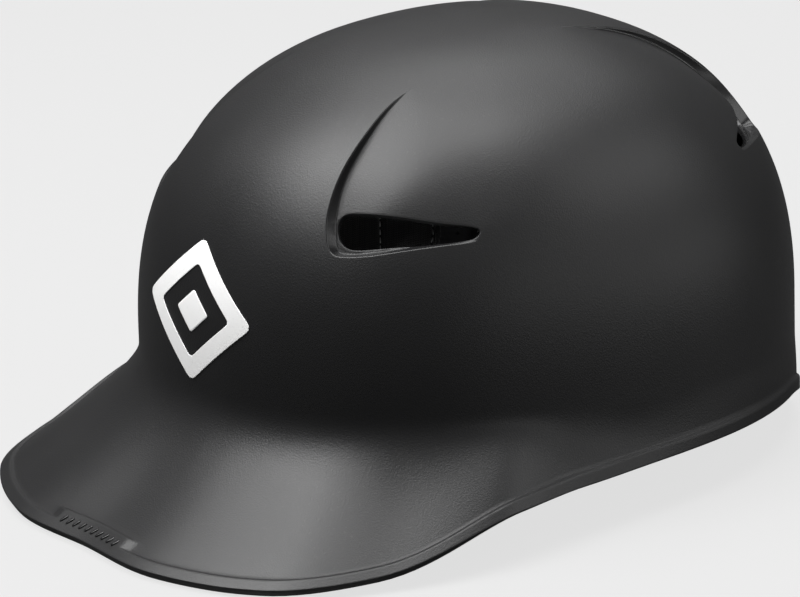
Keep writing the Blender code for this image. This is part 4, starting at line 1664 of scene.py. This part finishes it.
# %% Knitted cloth, piping and thread
def knit_group():
    """Interlocked V-shaped loops: wales run along, courses across."""
    tree, given, result = new_group(
        "knitted_loops", {"Wale width": 0.0011, "Course height": 0.0009}, ("Height", "Loop"))
    part = put(tree, "ShaderNodeSeparateXYZ", Vector=given["Vector"]).outputs
    wale = maths(tree, "FRACT", maths(tree, "DIVIDE", part["X"], given["Wale width"]))
    side = maths(tree, "ABSOLUTE", maths(tree, "SUBTRACT", wale, 0.5))
    course = maths(tree, "DIVIDE", part["Y"], given["Course height"])
    skewed = maths(tree, "ADD", course, maths(tree, "MULTIPLY", side, 1.6))
    wave = maths(tree, "SINE", maths(tree, "MULTIPLY", skewed, 2 * pi))
    loop = maths(tree, "MULTIPLY_ADD", wave, 0.5, 0.5)
    leg = maths(tree, "MULTIPLY", maths(tree, "SUBTRACT", side, 0.25), 4.0)
    round_leg = maths(tree, "SUBTRACT", 1.0, maths(tree, "MULTIPLY", leg, leg), clamp=True)
    height = maths(tree, "MULTIPLY", round_leg, maths(tree, "MULTIPLY_ADD", loop, 0.7, 0.3))
    wire(tree, result, Height=height, Loop=round_leg)
    return tree


def knitted_cloth():
    made, tree, shader = new_material("black_knit", IOR=1.45, Roughness=0.85, Sheen_Weight=0.35,
                                      Sheen_Roughness=0.45, Specular_IOR_Level=0.25)
    cloth_place = put(tree, "ShaderNodeAttribute", {"attribute_name": "cloth_place"})
    knit = use_group(tree, KNIT, Vector=cloth_place.outputs["Vector"], Wale_width=0.0012,
                     Course_height=0.0010)
    place = object_place(tree)
    scuff_sheen_dust = use_group(tree, SCUFF_SHEEN_DUST, Vector=place, Edge_mask=0.3, Facing_up=0.5)
    yarn = blend_colours(tree, noise(tree, place, 70.0, 4.0), (0.014, 0.014, 0.016, 1),
                         (0.030, 0.030, 0.033, 1))
    # Painted shade: darker where the knit's height is low, between the loops.
    shaded = blend_colours(tree, knit["Height"], (0.006, 0.006, 0.007, 1), yarn)
    linty = blend_colours(tree, maths(tree, "MULTIPLY", scuff_sheen_dust["Dust"], 0.4), shaded,
                          (0.22, 0.22, 0.22, 1))
    wire(tree, shader, Base_Color=linty, Normal=bumped(tree, knit["Height"], 0.8, 0.00025))
    return made


def twisted_cloth(name, dark, light, twist):
    """Binding cloth or thread: fine slanting ribs between two tones."""
    made, tree, shader = new_material(name, IOR=1.45, Roughness=0.8, Sheen_Weight=0.25)
    ribs = put(tree, "ShaderNodeTexWave", {"bands_direction": "DIAGONAL"},
               Vector=object_place(tree), Scale=twist, Distortion=1.5, Detail=1.0).outputs[0]
    # Painted shade: the darker tone lies in the grooves between the ribs, where the bump is low.
    wire(tree, shader, Base_Color=blend_colours(tree, ribs, (*dark, 1), (*light, 1)),
         Normal=bumped(tree, ribs, 0.5, 0.00012))
    return made


KNIT = knit_group()
CLOTH = knitted_cloth()
PIPING_CLOTH = twisted_cloth("bound_edge", (0.010, 0.010, 0.011), (0.034, 0.034, 0.036), 320.0)
THREAD = twisted_cloth("grey_thread", (0.034, 0.034, 0.036), (0.075, 0.075, 0.078), 700.0)


# %% Making the pads
def add_pad(node, patch, cells):
    pad = pad_form(f"{node}_cushion", patch)
    even_cells(pad)
    stuff(pad)
    quilt(pad, patch, cells)
    pad.data.shade_smooth()
    pad.data.materials.clear()
    pad.data.materials.append(CLOTH)
    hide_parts(node)
    for piece in (pad, add_piping(pad, patch), add_stitches(pad, patch, cells)):
        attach(piece, "root")
        print(piece.name, triangles(piece), "triangles")


for pad_name, (patch, cells) in PADS.items():
    add_pad(pad_name, patch, cells)

def write_sizes():
    def plain(box):
        return [[float(c) for c in corner] for corner in box]
    sizes = {"cad_box": plain(DESIGN_BOX), "visual_box": plain(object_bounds())}
    print("visual box in mm:", [[round(c / MM, 1) for c in end] for end in sizes["visual_box"]])


write_sizes()
